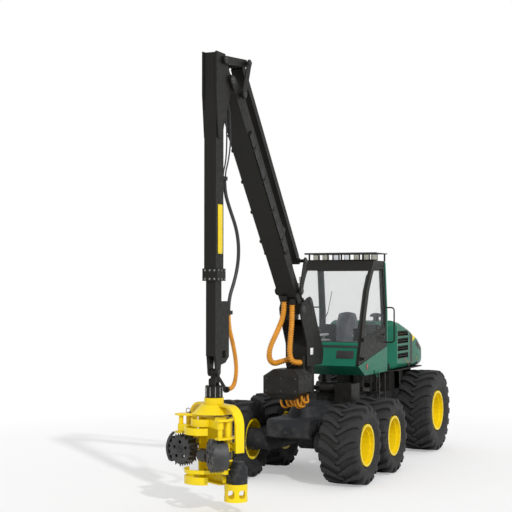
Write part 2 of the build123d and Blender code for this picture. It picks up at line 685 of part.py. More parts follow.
HOOD_WALL = 20
HOOD_STATIONS = [
    (2645, 420, 2690, 130),
    (2900, 720, 2710, 150),
    (3250, 720, 2665, 150),
    (3830, 720, 2520, 150),
    (4350, 720, 2345, 150),
    (4640, 700, 2200, 150),
    (4740, 640, 2060, 150),
]
INNER_STATIONS = [(2665, 420, 2690, 130)] + HOOD_STATIONS[1:-1] + [(4720, 650, 2080, 150)]
GRILLE_ROWS = (1990, 2140, 2290, 2440)
GRILLE_Y = (2960, 3650)
GRILLE_H = 105
with BuildPart() as hood:
    hood_loft(HOOD_STATIONS, 0, HOOD_Z)
    hood_loft(INNER_STATIONS, HOOD_WALL, HOOD_Z - 10, mode=Mode.SUBTRACT)
    for z in GRILLE_ROWS:
        block(-800, 800, GRILLE_Y[0], GRILLE_Y[1], z - GRILLE_H / 2, z + GRILLE_H / 2, mode=Mode.SUBTRACT)
    block(-450, 450, 4700, 4760, 1860, 2000, mode=Mode.SUBTRACT)
    for x in (-365, 365):
        with BuildSketch(Plane.YZ.offset(x - 12)) as hinge:
            with Locations((aft(FRAME_END + 30), 1750)):
                Circle(22)
            with Locations((aft(4735), 1770)):
                Rectangle(10, 90)
            make_hull()
        extrude(hinge.sketch, amount=24)
    for z in GRILLE_ROWS:
        for low in (-GRILLE_H / 2, -8, GRILLE_H / 2 - 22):
            for side in (-1, 1):
                front_plate(
                    [(side * 702, z + low), (side * 714, z + low), (side * 714, z + low + 6),
                     (side * 702, z + low + 16)],
                    GRILLE_Y[0],
                    GRILLE_Y[1],
                )
    front_plate([(-450, 1860), (450, 1860), (450, 2000), (-450, 2000)], 4716, 4724)
save(hood, "hood")

# Crane. The pillar turns on its base; the boom, two levers and a long rod make a parallelogram.
BOOM_PIVOT = (-774, 2987)
BOOM_TIP = (-3551, 6575)
LEVER_LOW = (-930, 3310)
LEVER_HIGH = (-3261, 6392)
LEVER_ARM = (200, 530)
STICK_PIN = (-3790, 6860)
LIFT_FOOT = (-450, 3120)
LIFT_HEAD = (-1450, 4345)
BOOM_HALF = 170
PLATE_IN, PLATE_OUT = 178, 206
LEVER_IN, LEVER_OUT = 212, 232
rod_low = (LEVER_LOW[0] + LEVER_ARM[0], LEVER_LOW[1] + LEVER_ARM[1])
rod_high = (LEVER_HIGH[0] + LEVER_ARM[0], LEVER_HIGH[1] + LEVER_ARM[1])

BOX_HALF = 330
MANIFOLD_X = (-110, 215)  # the block on the valve box that both slewing hoses end in

# Hoses hang free between two glands each: (x, behind the bogie, height) along the route
SLEW_HOSE_R = 52
STICK_HOSE_R = 30
HEAD_HOSE_R = 38
GLAND_R = 62
RIGHT_HOSE = [
    (-60, -1016, 3130),
    (-60, -1016, 2900),
    (-110, -1190, 2620),
    (-200, -1330, 2330),
    (-236, -1270, 2130),
    (-215, -1100, 2045),
    (-130, -960, 2085),
    (-45, -900, 2110),
    (-45, -800, 2110),
]
LEFT_HOSE = [
    (72, -973, 3075),
    (72, -973, 2800),
    (56, -1010, 2480),
    (50, -1040, 2240),
    (70, -1000, 2090),
    (150, -900, 2060),
    (150, -800, 2060),
]
STICK_HOSE = [
    (70, -3640, 5020),
    (70, -3640, 4840),
    (70, -3440, 4570),
    (66, -3210, 4300),
    (56, -3100, 4030),
    (42, -3095, 3750),
    (24, -3190, 3470),
    (0, -3350, 3190),
    (0, -3350, 3010),
]
HEAD_HOSE = [
    (0, -3350, 2950),
    (0, -3350, 2760),
    (0, -3190, 2480),
    (0, -3090, 2226),
    (0, -3068, 2035),
    (0, -3125, 1870),
    (0, -3240, 1785),
    (0, -3405, 1785),
]


def upright(x, y, radius, z_from, z_to, mode=Mode.ADD):
    """A round post, y counted behind the bogie."""
    with BuildSketch(Plane.XY.offset(z_from)) as section:
        with Locations((x, aft(y))):
            Circle(radius)
    extrude(section.sketch, amount=z_to - z_from, mode=mode)


def make_hose(route, radius, label):
    """A tube along the route; each arc is as large as its two runs allow."""
    points = [Vector(x, aft(y), z) for x, y, z in route]
    radii = []
    for before, corner, after in zip(points, points[1:], points[2:]):
        turn = math.radians((corner - before).get_angle(after - corner))
        shorter = min((corner - before).length, (after - corner).length)
        radii.append(0.45 * shorter / math.tan(turn / 2))
    print(label, "radii", [round(value) for value in radii])
    with BuildPart() as hose:
        with BuildLine() as line:
            FilletPolyline(*points, radius=radii)
        with BuildSketch(Plane(origin=line.line @ 0, z_dir=line.line % 0)) as section:
            Circle(radius)
        sweep(section.sketch, path=line.line)
    save(hose, label)


for label, route, radius in (
    ("slew_hose_right", RIGHT_HOSE, SLEW_HOSE_R),
    ("slew_hose_left", LEFT_HOSE, SLEW_HOSE_R),
    ("stick_hose", STICK_HOSE, STICK_HOSE_R),
    ("head_hose", HEAD_HOSE, HEAD_HOSE_R),
):
    make_hose(route, radius, label)

with BuildPart() as crane_pillar:
    with BuildSketch(Plane.XY.offset(SLEW_Z + SEAT_GAP)):
        with Locations((0, aft(SLEW))):
            Circle(225)
    extrude(amount=70)
    with BuildSketch(Plane.XY.offset(SLEW_Z + 70)):
        with Locations((0, aft(SLEW))):
            Circle(180)
    extrude(amount=2000 - SLEW_Z - 70)
    side_plate([(-600, 1985), (100, 1985), (160, 2100), (172, 2254), (60, 2330), (-605, 2330)], -PLATE_OUT,
               PLATE_OUT)
    side_pair(
        [(-600, 1985), (-612, 2380), (-880, 2900), (-900, 3010), (-850, 3090), (-740, 3110), (-560, 3190),
         (-450, 3210), (-360, 3160), (-40, 2588), (172, 2254), (160, 2100), (100, 1985)],
        PLATE_IN,
        PLATE_OUT,
    )
    side_plate([(-560, 2330), (-380, 2700), (-330, 2700), (-500, 2330)], -PLATE_IN, PLATE_IN)
    side_plate([(-330, 2800), (-270, 2800), (20, 2330), (-40, 2330)], -PLATE_IN, PLATE_IN)
    side_pair([(-560, 2050), (-700, 1900), (-700, 1580), (-400, 1580), (-400, 2050)], 60, 90)
    cross_bar(LIFT_FOOT[0], LIFT_FOOT[1], 32, -PLATE_IN, PLATE_IN)
    cross_bar(BOOM_PIVOT[0], BOOM_PIVOT[1], 42, -PLATE_IN, PLATE_IN)
    block(*MANIFOLD_X, LEFT_HOSE[-1][1], -755, 1950, 2175)
    with BuildSketch(Plane.XY.offset(1560)):
        with Locations((0, aft(-1000))):
            Rectangle(2 * BOX_HALF, 600)
    extrude(amount=290)
    with BuildSketch(Plane.XY.offset(1850)):
        with Locations((0, aft(-1000))):
            Rectangle(2 * BOX_HALF, 600)
    with BuildSketch(Plane.XY.offset(1960)):
        with Locations((0, aft(-960))):
            Rectangle(2 * BOX_HALF - 260, 420)
    loft(ruled=True)
    with BuildSketch(Plane.XY.offset(1440)):
        with Locations((0, aft(-960))):
            Rectangle(2 * BOX_HALF - 300, 400)
    with BuildSketch(Plane.XY.offset(1560)):
        with Locations((0, aft(-1000))):
            Rectangle(2 * BOX_HALF, 600)
    loft(ruled=True)
save(crane_pillar, "crane_pillar")


def along(start, end, distance):
    """A side-view point on the line from start towards end."""
    length = math.hypot(end[0] - start[0], end[1] - start[1])
    return tuple(a + (b - a) * distance / length for a, b in zip(start, end))


def offset_point(start, end, distance, rise):
    """As along, then this far to the upper or rear side of the line."""
    length = math.hypot(end[0] - start[0], end[1] - start[1])
    dy, dz = (end[0] - start[0]) / length, (end[1] - start[1]) / length
    y, z = along(start, end, distance)
    return (y + dz * rise, z - dy * rise)


BOOM_LENGTH = math.hypot(BOOM_TIP[0] - BOOM_PIVOT[0], BOOM_TIP[1] - BOOM_PIVOT[1])
BOOM_UNDER = 50  # the pins lie this far above the boom's lower face


def on_boom(distance, rise):
    return offset_point(BOOM_PIVOT, BOOM_TIP, distance, rise)


with BuildPart() as main_boom:
    side_plate(
        [on_boom(-60, -60), on_boom(150, -BOOM_UNDER), on_boom(BOOM_LENGTH - 200, -BOOM_UNDER),
         on_boom(BOOM_LENGTH + 70, -60), on_boom(BOOM_LENGTH + 90, 20), on_boom(BOOM_LENGTH + 30, 90),
         on_boom(BOOM_LENGTH - 300, 215), on_boom(1450, 205), on_boom(250, 88), on_boom(0, 80),
         on_boom(-70, 40)],
        -BOOM_HALF,
        BOOM_HALF,
    )
    side_plate(
        [on_boom(330, -30), on_boom(BOOM_LENGTH - 500, -30), on_boom(BOOM_LENGTH - 500, 180),
         on_boom(1450, 180), on_boom(450, 80)],
        -BOOM_HALF + 20,
        BOOM_HALF - 20,
        mode=Mode.SUBTRACT,
    )
    side_plate(
        [on_boom(BOOM_LENGTH - 210, -100), on_boom(BOOM_LENGTH + 120, -100), on_boom(BOOM_LENGTH + 120, 230),
         on_boom(BOOM_LENGTH - 210, 230)],
        -135,
        135,
        mode=Mode.SUBTRACT,
    )
    cross_bar(BOOM_PIVOT[0], BOOM_PIVOT[1], 42 + SEAT_GAP, -BOOM_HALF, BOOM_HALF, mode=Mode.SUBTRACT)
    with BuildSketch(Plane.YZ.offset(-110)) as fin:
        with Locations((aft(LIFT_HEAD[0]), LIFT_HEAD[1])):
            Circle(62)
        with Locations(*placed([on_boom(1400, 180), on_boom(1900, 190)])):
            Circle(10)
        make_hull()
    extrude(fin.sketch, amount=20)
    extrude(fin.sketch.moved(Location((200, 0, 0))), amount=20)
    for x_from, x_to in ((-90, -61), (61, 90)):
        cross_bar(LIFT_HEAD[0], LIFT_HEAD[1], 30, x_from, x_to)
    cross_bar(BOOM_TIP[0], BOOM_TIP[1], 38, -135, 135)
    for x, y, z in (LEFT_HOSE[0], RIGHT_HOSE[0]):
        upright(x, y, GLAND_R, z, z + 95)
    cross_bar(LEVER_LOW[0], LEVER_LOW[1], 34, BOOM_HALF, LEVER_OUT + 8)
    cross_bar(LEVER_LOW[0], LEVER_LOW[1], 34, -LEVER_OUT - 8, -BOOM_HALF)
    cross_bar(LEVER_HIGH[0], LEVER_HIGH[1], 34, BOOM_HALF, LEVER_OUT + 8)
    cross_bar(LEVER_HIGH[0], LEVER_HIGH[1], 34, -LEVER_OUT - 8, -BOOM_HALF)
save(main_boom, "main_boom")

# name, pivot, free end
for label, pivot, free in (("lower_lever", LEVER_LOW, rod_low), ("upper_lever", LEVER_HIGH, rod_high)):
    with BuildPart() as lever:
        for x in (LEVER_IN, -LEVER_OUT):
            with BuildSketch(Plane.YZ.offset(x)) as cheek:
                with Locations((aft(pivot[0]), pivot[1])):
                    Circle(72)
                with Locations((aft(free[0]), free[1])):
                    Circle(60)
                make_hull()
                with Locations((aft(pivot[0]), pivot[1])):
                    Circle(34 + SEAT_GAP, mode=Mode.SUBTRACT)
            extrude(cheek.sketch, amount=LEVER_OUT - LEVER_IN)
        cross_bar(free[0], free[1], 30, -LEVER_IN, LEVER_IN)
    save(lever, label)

ROD_HALF = 105
with BuildPart() as long_rod:
    side_bar(along(rod_low, rod_high, 60), along(rod_high, rod_low, 60), 110, -ROD_HALF, ROD_HALF)
    for end in (rod_low, rod_high):
        cross_bar(end[0], end[1], 62, -ROD_HALF, ROD_HALF)
    for end in (rod_low, rod_high):
        cross_bar(end[0], end[1], 30 + SEAT_GAP, -ROD_HALF, ROD_HALF, mode=Mode.SUBTRACT)
save(long_rod, "long_rod")

LINK_IN, LINK_OUT = 140, 165
with BuildPart() as tip_link:
    for x in (LINK_IN, -LINK_OUT):
        with BuildSketch(Plane.YZ.offset(x)) as cheek:
            with Locations(*placed([rod_high, STICK_PIN])):
                Circle(60)
            make_hull()
            with Locations((aft(rod_high[0]), rod_high[1])):
                Circle(30 + SEAT_GAP, mode=Mode.SUBTRACT)
        extrude(cheek.sketch, amount=LINK_OUT - LINK_IN)
    middle = ((rod_high[0] + STICK_PIN[0]) / 2, (rod_high[1] + STICK_PIN[1]) / 2)
    cross_bar(middle[0], middle[1], 30, -LINK_IN, LINK_IN)
save(tip_link, "tip_link")

LIFT_R = 66
LIFT_ROD_R = 32
BARREL_LENGTH = 1180
lift_length = math.hypot(LIFT_HEAD[0] - LIFT_FOOT[0], LIFT_HEAD[1] - LIFT_FOOT[1])


def lift_point(distance):
    y, z = along(LIFT_FOOT, LIFT_HEAD, distance)
    return (0, aft(y), z)


with BuildPart() as lift_barrel:
    tube_between(lift_point(60), lift_point(BARREL_LENGTH), LIFT_R)
    cross_bar(LIFT_FOOT[0], LIFT_FOOT[1], 70, -60, 60)
    cross_bar(LIFT_FOOT[0], LIFT_FOOT[1], 32 + SEAT_GAP, -60, 60, mode=Mode.SUBTRACT)
    tube_between(lift_point(150), lift_point(BARREL_LENGTH), LIFT_ROD_R + SEAT_GAP, mode=Mode.SUBTRACT)
save(lift_barrel, "lift_barrel")
with BuildPart() as lift_rod:
    tube_between(lift_point(420), lift_point(lift_length - 40), LIFT_ROD_R)
    cross_bar(LIFT_HEAD[0], LIFT_HEAD[1], 58, -55, 55)
save(lift_rod, "lift_rod")

# Stick: an outer box with cheeks at its head and a collar at its foot, and a sliding extension
STICK_HALF = 100
STICK_FRONT, STICK_BACK = -4000, -3740
STICK_TOP = STICK_PIN[1] + 90
COLLAR = (3470, 3660)
STICK_WALL = 12
EXT_HALF = 80
EXT_FRONT, EXT_BACK = -3975, -3765
EXT_TOP = 5850
EXT_FOOT = 2330
WRIST = (-3859, 2085)
with BuildPart() as stick:
    block(-STICK_HALF, STICK_HALF, STICK_FRONT, STICK_BACK, COLLAR[1], STICK_TOP)
    block(-STICK_HALF + STICK_WALL, STICK_HALF - STICK_WALL, STICK_FRONT + STICK_WALL, STICK_BACK - STICK_WALL,
          COLLAR[1], STICK_TOP - 30, mode=Mode.SUBTRACT)
    block(-STICK_HALF - 27, STICK_HALF + 27, STICK_FRONT - 5, STICK_BACK + 22, COLLAR[0], COLLAR[1])
    block(-EXT_HALF - SEAT_GAP, EXT_HALF + SEAT_GAP, EXT_FRONT - SEAT_GAP, EXT_BACK + SEAT_GAP, COLLAR[0],
          COLLAR[1], mode=Mode.SUBTRACT)
    side_pair(
        [(-4030, 6960), (-3730, 6960), (-3560, 6690), (-3470, 6640), (-3445, 6570), (-3480, 6500), (-3740, 5950),
         (-3830, 5650), (-3960, 5650), (-4030, 6300)],
        STICK_HALF,
        STICK_HALF + 25,
    )
    cross_bar(BOOM_TIP[0], BOOM_TIP[1], 38 + SEAT_GAP, -130, 130, mode=Mode.SUBTRACT)
    block(35, 100, STICK_BACK, STICK_HOSE[0][1] + 45, STICK_HOSE[0][2], STICK_HOSE[0][2] + 60)
    cross_bar(STICK_PIN[0], STICK_PIN[1], 30, STICK_HALF + 25, LINK_IN - CLEAR)
    cross_bar(STICK_PIN[0], STICK_PIN[1], 30, -LINK_IN + CLEAR, -STICK_HALF - 25)
save(stick, "stick")
with BuildPart() as extension:
    block(-EXT_HALF, EXT_HALF, EXT_FRONT, EXT_BACK, EXT_FOOT, EXT_TOP)
    block(-EXT_HALF + 15, EXT_HALF - 15, EXT_FRONT + 15, EXT_BACK - 15, EXT_FOOT + 200, EXT_TOP - 200,
          mode=Mode.SUBTRACT)
    with BuildSketch(Plane.YZ.offset(-EXT_HALF)) as fork:
        with Locations((aft(WRIST[0]), WRIST[1])):
            Circle(65)
        with Locations((aft(WRIST[0]), EXT_FOOT)):
            Rectangle(200, 10)
        make_hull()
    extrude(fork.sketch, amount=35)
    extrude(fork.sketch.moved(Location((2 * EXT_HALF - 35, 0, 0))), amount=35)
    cross_bar(WRIST[0], WRIST[1], 28, -45, 45)
    side_plate([(-3765, 2350), (-3765, 2500), (-3705, 2560), (-3705, 3160), (-3440, 3160), (-3440, 2300),
                (-3560, 2212), (-3700, 2190)], -50, 50)
    side_plate([(-3680, 2290), (-3680, 2400), (-3560, 2400), (-3560, 2290)], -50, 50, mode=Mode.SUBTRACT)
    clamp_y = HEAD_HOSE[0][1]
    block(-48, 48, -3441, clamp_y + 48, HEAD_HOSE[0][2], STICK_HOSE[-1][2])
save(extension, "extension")

# Wrist: a cross link, then the rotator
CROSS_Z = 1945
with BuildPart() as wrist_link:
    cross_bar(WRIST[0], WRIST[1], 55, -39, 39)
    block(-39, 39, WRIST[0] - 38, WRIST[0] + 38, CROSS_Z, WRIST[1])
    with BuildSketch(Plane.XZ.offset(-aft(WRIST[0] + 38))) as lower_eye:
        with Locations((0, CROSS_Z)):
            Circle(50)
    extrude(lower_eye.sketch, amount=76)
    cross_bar(WRIST[0], WRIST[1], 28 + SEAT_GAP, -39, 39, mode=Mode.SUBTRACT)
    with BuildSketch(Plane.XZ.offset(-aft(WRIST[0] + 40))) as lower_bore:
        with Locations((0, CROSS_Z)):
            Circle(26 + SEAT_GAP)
    extrude(lower_bore.sketch, amount=80, mode=Mode.SUBTRACT)
    hose_y, hose_z = HEAD_HOSE[-1][1:]
    side_plate(
        [(-3830, 2030), (-3765, 2030), (hose_y - 60, hose_z - 20), (hose_y - 30, hose_z + 20), (-3755, 2062),
         (-3830, 2062)],
        -15,
        15,
    )
    with BuildSketch(Plane.XZ.offset(-aft(hose_y))) as hose_gland:
        with Locations((0, hose_z)):
            Circle(HEAD_HOSE_R + 10)
    extrude(hose_gland.sketch, amount=50)
save(wrist_link, "wrist_link")
ROTATOR_Z = 1700
with BuildPart() as rotator:
    for y_from in (WRIST[0] - 75, WRIST[0] + 44):
        front_plate([(-55, CROSS_Z - 70), (-55, CROSS_Z + 30), (-25, CROSS_Z + 55), (25, CROSS_Z + 55),
                     (55, CROSS_Z + 30), (55, CROSS_Z - 70)], y_from, y_from + 31)
    with BuildSketch(Plane.XZ.offset(-aft(WRIST[0] + 44))) as pin:
        with Locations((0, CROSS_Z)):
            Circle(26)
    extrude(pin.sketch, amount=88)
    with BuildSketch(Plane.XY.offset(ROTATOR_Z)) as drum:
        with Locations((0, aft(WRIST[0]))):
            Circle(125)
    extrude(drum.sketch, amount=CROSS_Z - 70 - ROTATOR_Z)
save(rotator, "rotator")

# Harvesting head. Drawn facing -Y about the wrist's upright axis, then turned with the rotator.
HEAD_TURN = -30
HEAD_PLANE = Plane(origin=(0, aft(WRIST[0]), 0)).rotated((0, 0, HEAD_TURN))
TILT = (30, 1000)  # trunnions: towards the back, height
YOKE_IN, YOKE_OUT = 620, 655
YOKE_W = 150
TRUNNION_R = 40


def head_plate(points, z_from, z_to, mode=Mode.ADD):
    """A level plate of the head, (across, towards the back)."""
    with BuildSketch(HEAD_PLANE.offset(z_from)) as outline:
        with BuildLine():
            Polyline(*points, close=True)
        make_face()
    extrude(outline.sketch, amount=z_to - z_from, mode=mode)


def mirrored(points):
    """The other side's outline, (across, towards the back)."""
    return [(-x, y) for x, y in points]


def head_post(x, y, radius, z_from, z_to, mode=Mode.ADD):
    with BuildSketch(HEAD_PLANE.offset(z_from)) as section:
        with Locations((x, y)):
            Circle(radius)
    extrude(section.sketch, amount=z_to - z_from, mode=mode)


def head_bar(y, z, radius, x_from, x_to, mode=Mode.ADD):
    """A round bar across the head."""
    across = Plane(
        origin=HEAD_PLANE.from_local_coords(Vector(x_from, y, z)), z_dir=HEAD_PLANE.x_dir, x_dir=(0, 0, 1)
    )
    with BuildSketch(across) as section:
        Circle(radius)
    extrude(section.sketch, amount=x_to - x_from, mode=mode)


with BuildPart() as tilt_frame:
    yoke_plane = Plane(
        origin=HEAD_PLANE.from_local_coords(Vector(0, TILT[0] + YOKE_W / 2, 0)),
        x_dir=HEAD_PLANE.x_dir,
        z_dir=-HEAD_PLANE.y_dir,
    )
    foot = TILT[1] - 75
    for half, top, bend, mode in (
        (YOKE_OUT, 1610, 300, Mode.ADD),
        (YOKE_IN, 1575, 265, Mode.SUBTRACT),
    ):
        with BuildSketch(yoke_plane) as yoke:
            with Locations((0, (foot + top) / 2)):
                Rectangle(2 * half, top - foot)
            fillet(yoke.vertices().group_by(Axis.Y)[-1], bend)
        extrude(yoke.sketch, amount=YOKE_W, mode=mode)
    head_post(0, 0, 150, 1560, ROTATOR_Z - SEAT_GAP)
    with BuildSketch(HEAD_PLANE.offset(1460)) as dome_low:
        Circle(330)
    with BuildSketch(HEAD_PLANE.offset(1600)) as dome_high:
        Circle(190)
    loft([dome_low.sketch.face(), dome_high.sketch.face()], ruled=True)
    for x_from, x_to in ((-YOKE_OUT - 5, -YOKE_IN + 5), (YOKE_IN - 5, YOKE_OUT + 5)):
        head_bar(TILT[0], TILT[1], TRUNNION_R + SEAT_GAP, x_from, x_to, mode=Mode.SUBTRACT)
save(tilt_frame, "tilt_frame")

CHANNEL_HALF = 345
CHANNEL_WALL = 25
HEAD_BACK = 100
KNIFE_POST = (540, -250)
COLUMN = (540, -110)
FEED_POST = (480, -75)
LOW_POST = (412, -75)
POST_R = 35
FEED_Z = 890
FEED_R = 225
FEED_W = 200
FEED_FACE = (420, -350)  # middle of a feed roller's front face
FEED_SPLAY = 17
WING_LOW = (1130, 1160)
WING_TOP = (1400, 1430)
BOTTOM_PLATE = (405, 425)
SAW_PIVOT = (430, 15)
SAW_MIDDLE = (430, 110)
SAW_R = 175
BAR_Z = (555, 575)
BAR_SLOT = (548, 588)
GUARD_Z = (182, 446 - SEAT_GAP)
BACK_ROLLER = (-150, 830)  # towards the back, height
wing = [(330, 60), (520, 60), (590, -55), (640, -190), (610, -320), (500, -320), (440, -230), (330, -120)]

with BuildPart() as head_frame:
    head_plate(
        [(-CHANNEL_HALF, -60), (-CHANNEL_HALF + CHANNEL_WALL, -60), (-CHANNEL_HALF + CHANNEL_WALL, 60),
         (CHANNEL_HALF - CHANNEL_WALL, 60), (CHANNEL_HALF - CHANNEL_WALL, -60), (CHANNEL_HALF, -60),
         (CHANNEL_HALF, HEAD_BACK), (-CHANNEL_HALF, HEAD_BACK)],
        BOTTOM_PLATE[0],
        WING_TOP[1],
    )
    for low, high in (WING_LOW, WING_TOP):
        head_plate(wing, low, high)
        head_plate(mirrored(wing), low, high)
    head_plate([(-340, 70), (-340, -200), (-200, -120), (200, -120), (340, -200), (340, 70)], *WING_TOP)
    head_plate([(-470, -110), (-470, 0), (-330, 70), (240, 70), (240, -60), (-330, -60), (-400, -120)], *BOTTOM_PLATE)
    for side in (-1, 1):
        head_post(side * COLUMN[0], COLUMN[1], 42, WING_LOW[1], WING_TOP[0])
        head_post(side * KNIFE_POST[0], KNIFE_POST[1], POST_R, WING_LOW[1], WING_TOP[0])
        head_post(side * FEED_POST[0], FEED_POST[1], POST_R, 800, WING_LOW[0])
        near, far = sorted((side * 330, side * (YOKE_IN - CLEAR)))
        head_bar(TILT[0], TILT[1], 60, near, far)
        near, far = sorted((side * (YOKE_IN - CLEAR), side * YOKE_OUT))
        head_bar(TILT[0], TILT[1], TRUNNION_R, near, far)
        shelf = [(side * x, y) for x, y in ((330, -50), (430, -130), (530, -130), (530, -20), (330, 60))]
        head_plate(shelf, 795, 820)
        head_plate([(side * 115, -205), (side * 130, -205), (side * 130, 65), (side * 115, 65)], 740, 920)
    head_plate([(CHANNEL_HALF - 20, -118), (458, -118), (458, -16), (CHANNEL_HALF - 20, -16)], 656, 676)
    head_post(LOW_POST[0], LOW_POST[1], POST_R, 592, 676)
    head_post(-LOW_POST[0], LOW_POST[1], POST_R, BOTTOM_PLATE[0], 551)
    head_bar(BACK_ROLLER[0], BACK_ROLLER[1], 25, -115, 115)
    head_plate([(300, -70), (350, -70), (350, 59), (300, 59)], *BAR_SLOT, mode=Mode.SUBTRACT)
    head_plate([(250, -70), (360, -70), (360, 110), (250, 110)], 400, 452, mode=Mode.SUBTRACT)
    head_post(SAW_MIDDLE[0], SAW_MIDDLE[1], SAW_R, *GUARD_Z)
    head_post(SAW_MIDDLE[0], SAW_MIDDLE[1], SAW_R - 14, GUARD_Z[0] - 10, GUARD_Z[1] - 30, mode=Mode.SUBTRACT)
    for index in range(3):
        across = Plane(origin=HEAD_PLANE.from_local_coords(Vector(SAW_MIDDLE[0], SAW_MIDDLE[1], 300))).rotated(
            (0, 0, HEAD_TURN + 60 * index)
        )
        with BuildSketch(Plane(origin=across.origin, x_dir=across.y_dir, z_dir=across.x_dir)) as window:
            RectangleRounded(110, 120, 40)
        extrude(window.sketch, amount=SAW_R + 20, both=True, mode=Mode.SUBTRACT)
save(head_frame, "head_frame")

with BuildPart() as back_roller:
    head_bar(BACK_ROLLER[0], BACK_ROLLER[1], 100, -108, 108)
    head_bar(BACK_ROLLER[0], BACK_ROLLER[1], 25 + SEAT_GAP, -108, 108, mode=Mode.SUBTRACT)
save(back_roller, "back_roller")

# Knives: curved bands that close round a stem, one above the other at each end of the head
STEM = (0, -190)
# name, side, post, heights, outer radius
KNIVES = [
    ("upper_left_knife", -1, KNIFE_POST, (1166, 1270), 290),
    ("upper_right_knife", 1, KNIFE_POST, (1285, 1394), 190),
    ("lower_left_knife", -1, LOW_POST, (431, 545), 290),
    ("lower_right_knife", 1, LOW_POST, (594, 650), 290),
]
KNIFE_T = 25
for label, side, post, (low, high), radius in KNIVES:
    hub = (side * post[0], post[1])
    start = 180 if side < 0 else 0
    root = (STEM[0] + side * (radius - 12), STEM[1])
    with BuildPart() as knife:
        with BuildSketch(HEAD_PLANE.offset(low)) as arm:
            with Locations(hub):
                Circle(POST_R + 18)
            with Locations(root):
                Circle(22)
            make_hull()
        extrude(arm.sketch, amount=high - low)
        with BuildSketch(HEAD_PLANE.offset(low)) as band:
            with BuildLine():
                outer = CenterArc(STEM, radius, start, -side * 160)
                inner = CenterArc(STEM, radius - KNIFE_T, start, -side * 160)
                Line(outer @ 0, inner @ 0)
                Line(outer @ 1, inner @ 1)
            make_face()
        extrude(band.sketch, amount=high - low)
        head_post(hub[0], hub[1], POST_R + SEAT_GAP, low, high, mode=Mode.SUBTRACT)
    save(knife, label)


# Feed rollers on their swinging arms, their toothed drums open at the back
def feed_plane(side, distance):
    """The plane across a roller's axis, this far behind its front face."""
    face = Vector(side * FEED_FACE[0], FEED_FACE[1], FEED_Z)
    splay = math.radians(FEED_SPLAY)
    backward = Vector(side * math.sin(splay), math.cos(splay), 0)
    origin = HEAD_PLANE.from_local_coords(face + backward * distance)
    normal = HEAD_PLANE.from_local_coords(face + backward * (distance + 1)) - origin
    return Plane(origin=origin, x_dir=(0, 0, 1), z_dir=normal)


TEETH = 16
TOOTH_H = 26
for name, side in (("left", -1), ("right", 1)):
    with BuildPart() as feed_arm:
        with BuildSketch(HEAD_PLANE.offset(826)) as arm_hub:
            with Locations((side * FEED_POST[0], FEED_POST[1])):
                Circle(62)
        extrude(arm_hub.sketch, amount=104)
        with BuildSketch(feed_plane(side, 90)) as motor:
            Circle(62)
        extrude(motor.sketch, amount=FEED_W - 90 + 40)
        with BuildSketch(feed_plane(side, FEED_W + 8)) as back_plate:
            Circle(62)
            with BuildLine():
                outer = CenterArc((0, 0), FEED_R + 38, 90 * side - 48, 96)
                Line(outer @ 0, (0, 0))
                Line(outer @ 1, (0, 0))
            make_face()
        extrude(back_plate.sketch, amount=14)
        with BuildSketch(feed_plane(side, -6)) as guard:
            with BuildLine():
                outer = CenterArc((0, 0), FEED_R + 38, 90 * side - 48, 96)
                inner = CenterArc((0, 0), FEED_R + 20, 90 * side - 48, 96)
                Line(outer @ 0, inner @ 0)
                Line(outer @ 1, inner @ 1)
            make_face()
        extrude(guard.sketch, amount=FEED_W + 20)
        head_post(side * FEED_POST[0], FEED_POST[1], POST_R + SEAT_GAP, 820, 940, mode=Mode.SUBTRACT)
    save(feed_arm, f"feed_arm_{name}")
    with BuildPart() as feed_roller:
        points = []
        for index in range(TEETH):
            for share, radius in ((-0.30, FEED_R - TOOTH_H), (-0.12, FEED_R), (0.12, FEED_R), (0.30, FEED_R - TOOTH_H)):
                angle = 2 * math.pi * (index + share) / TEETH
                points.append((radius * math.cos(angle), radius * math.sin(angle)))
        with BuildSketch(feed_plane(side, 0)) as drum:
            with BuildLine():
                Polyline(*points, close=True)
            make_face()
        extrude(drum.sketch, amount=FEED_W)
        with BuildSketch(feed_plane(side, 25)) as hollow:
            RegularPolygon(165, TEETH)
        extrude(hollow.sketch, amount=FEED_W, mode=Mode.SUBTRACT)
        with BuildSketch(feed_plane(side, 20)) as boss:
            Circle(62)
        extrude(boss.sketch, amount=90 - SEAT_GAP - 20)
        with BuildSketch(feed_plane(side, -1)) as holes:
            with PolarLocations(118, 5):
                Circle(27)
        extrude(holes.sketch, amount=30, mode=Mode.SUBTRACT)
    save(feed_roller, f"feed_roller_{name}")

# Saw: its gear housing beside the channel, the bar in a slot, and a slotted guard below
with BuildPart() as saw_box:
    with BuildSketch(HEAD_PLANE.offset(446)) as footprint:
        with Locations(SAW_MIDDLE):
            Circle(SAW_R)
        with Locations((SAW_MIDDLE[0] - 40, SAW_MIDDLE[1] + 60)):
            Rectangle(200, 220)
        with Locations((CHANNEL_HALF + SEAT_GAP - 250, SAW_MIDDLE[1])):
            Rectangle(500, 600, mode=Mode.SUBTRACT)
        with Locations((SAW_MIDDLE[0], -200)):
            Rectangle(600, 380, mode=Mode.SUBTRACT)
    extrude(footprint.sketch, amount=240)
    with BuildSketch(HEAD_PLANE.offset(686)) as top_low:
        with Locations((SAW_MIDDLE[0] + 40, SAW_MIDDLE[1] + 20)):
            Circle(120)
    with BuildSketch(HEAD_PLANE.offset(775)) as top_high:
        with Locations((SAW_MIDDLE[0] + 40, SAW_MIDDLE[1] + 20)):
            Circle(80)
    loft([top_low.sketch.face(), top_high.sketch.face()], ruled=True)
    head_plate([(300, -50), (490, -50), (490, 72), (300, 72)], *BAR_SLOT, mode=Mode.SUBTRACT)
    head_post(SAW_PIVOT[0], SAW_PIVOT[1], 20, BAR_SLOT[0], BAR_SLOT[1])
save(saw_box, "saw_box")
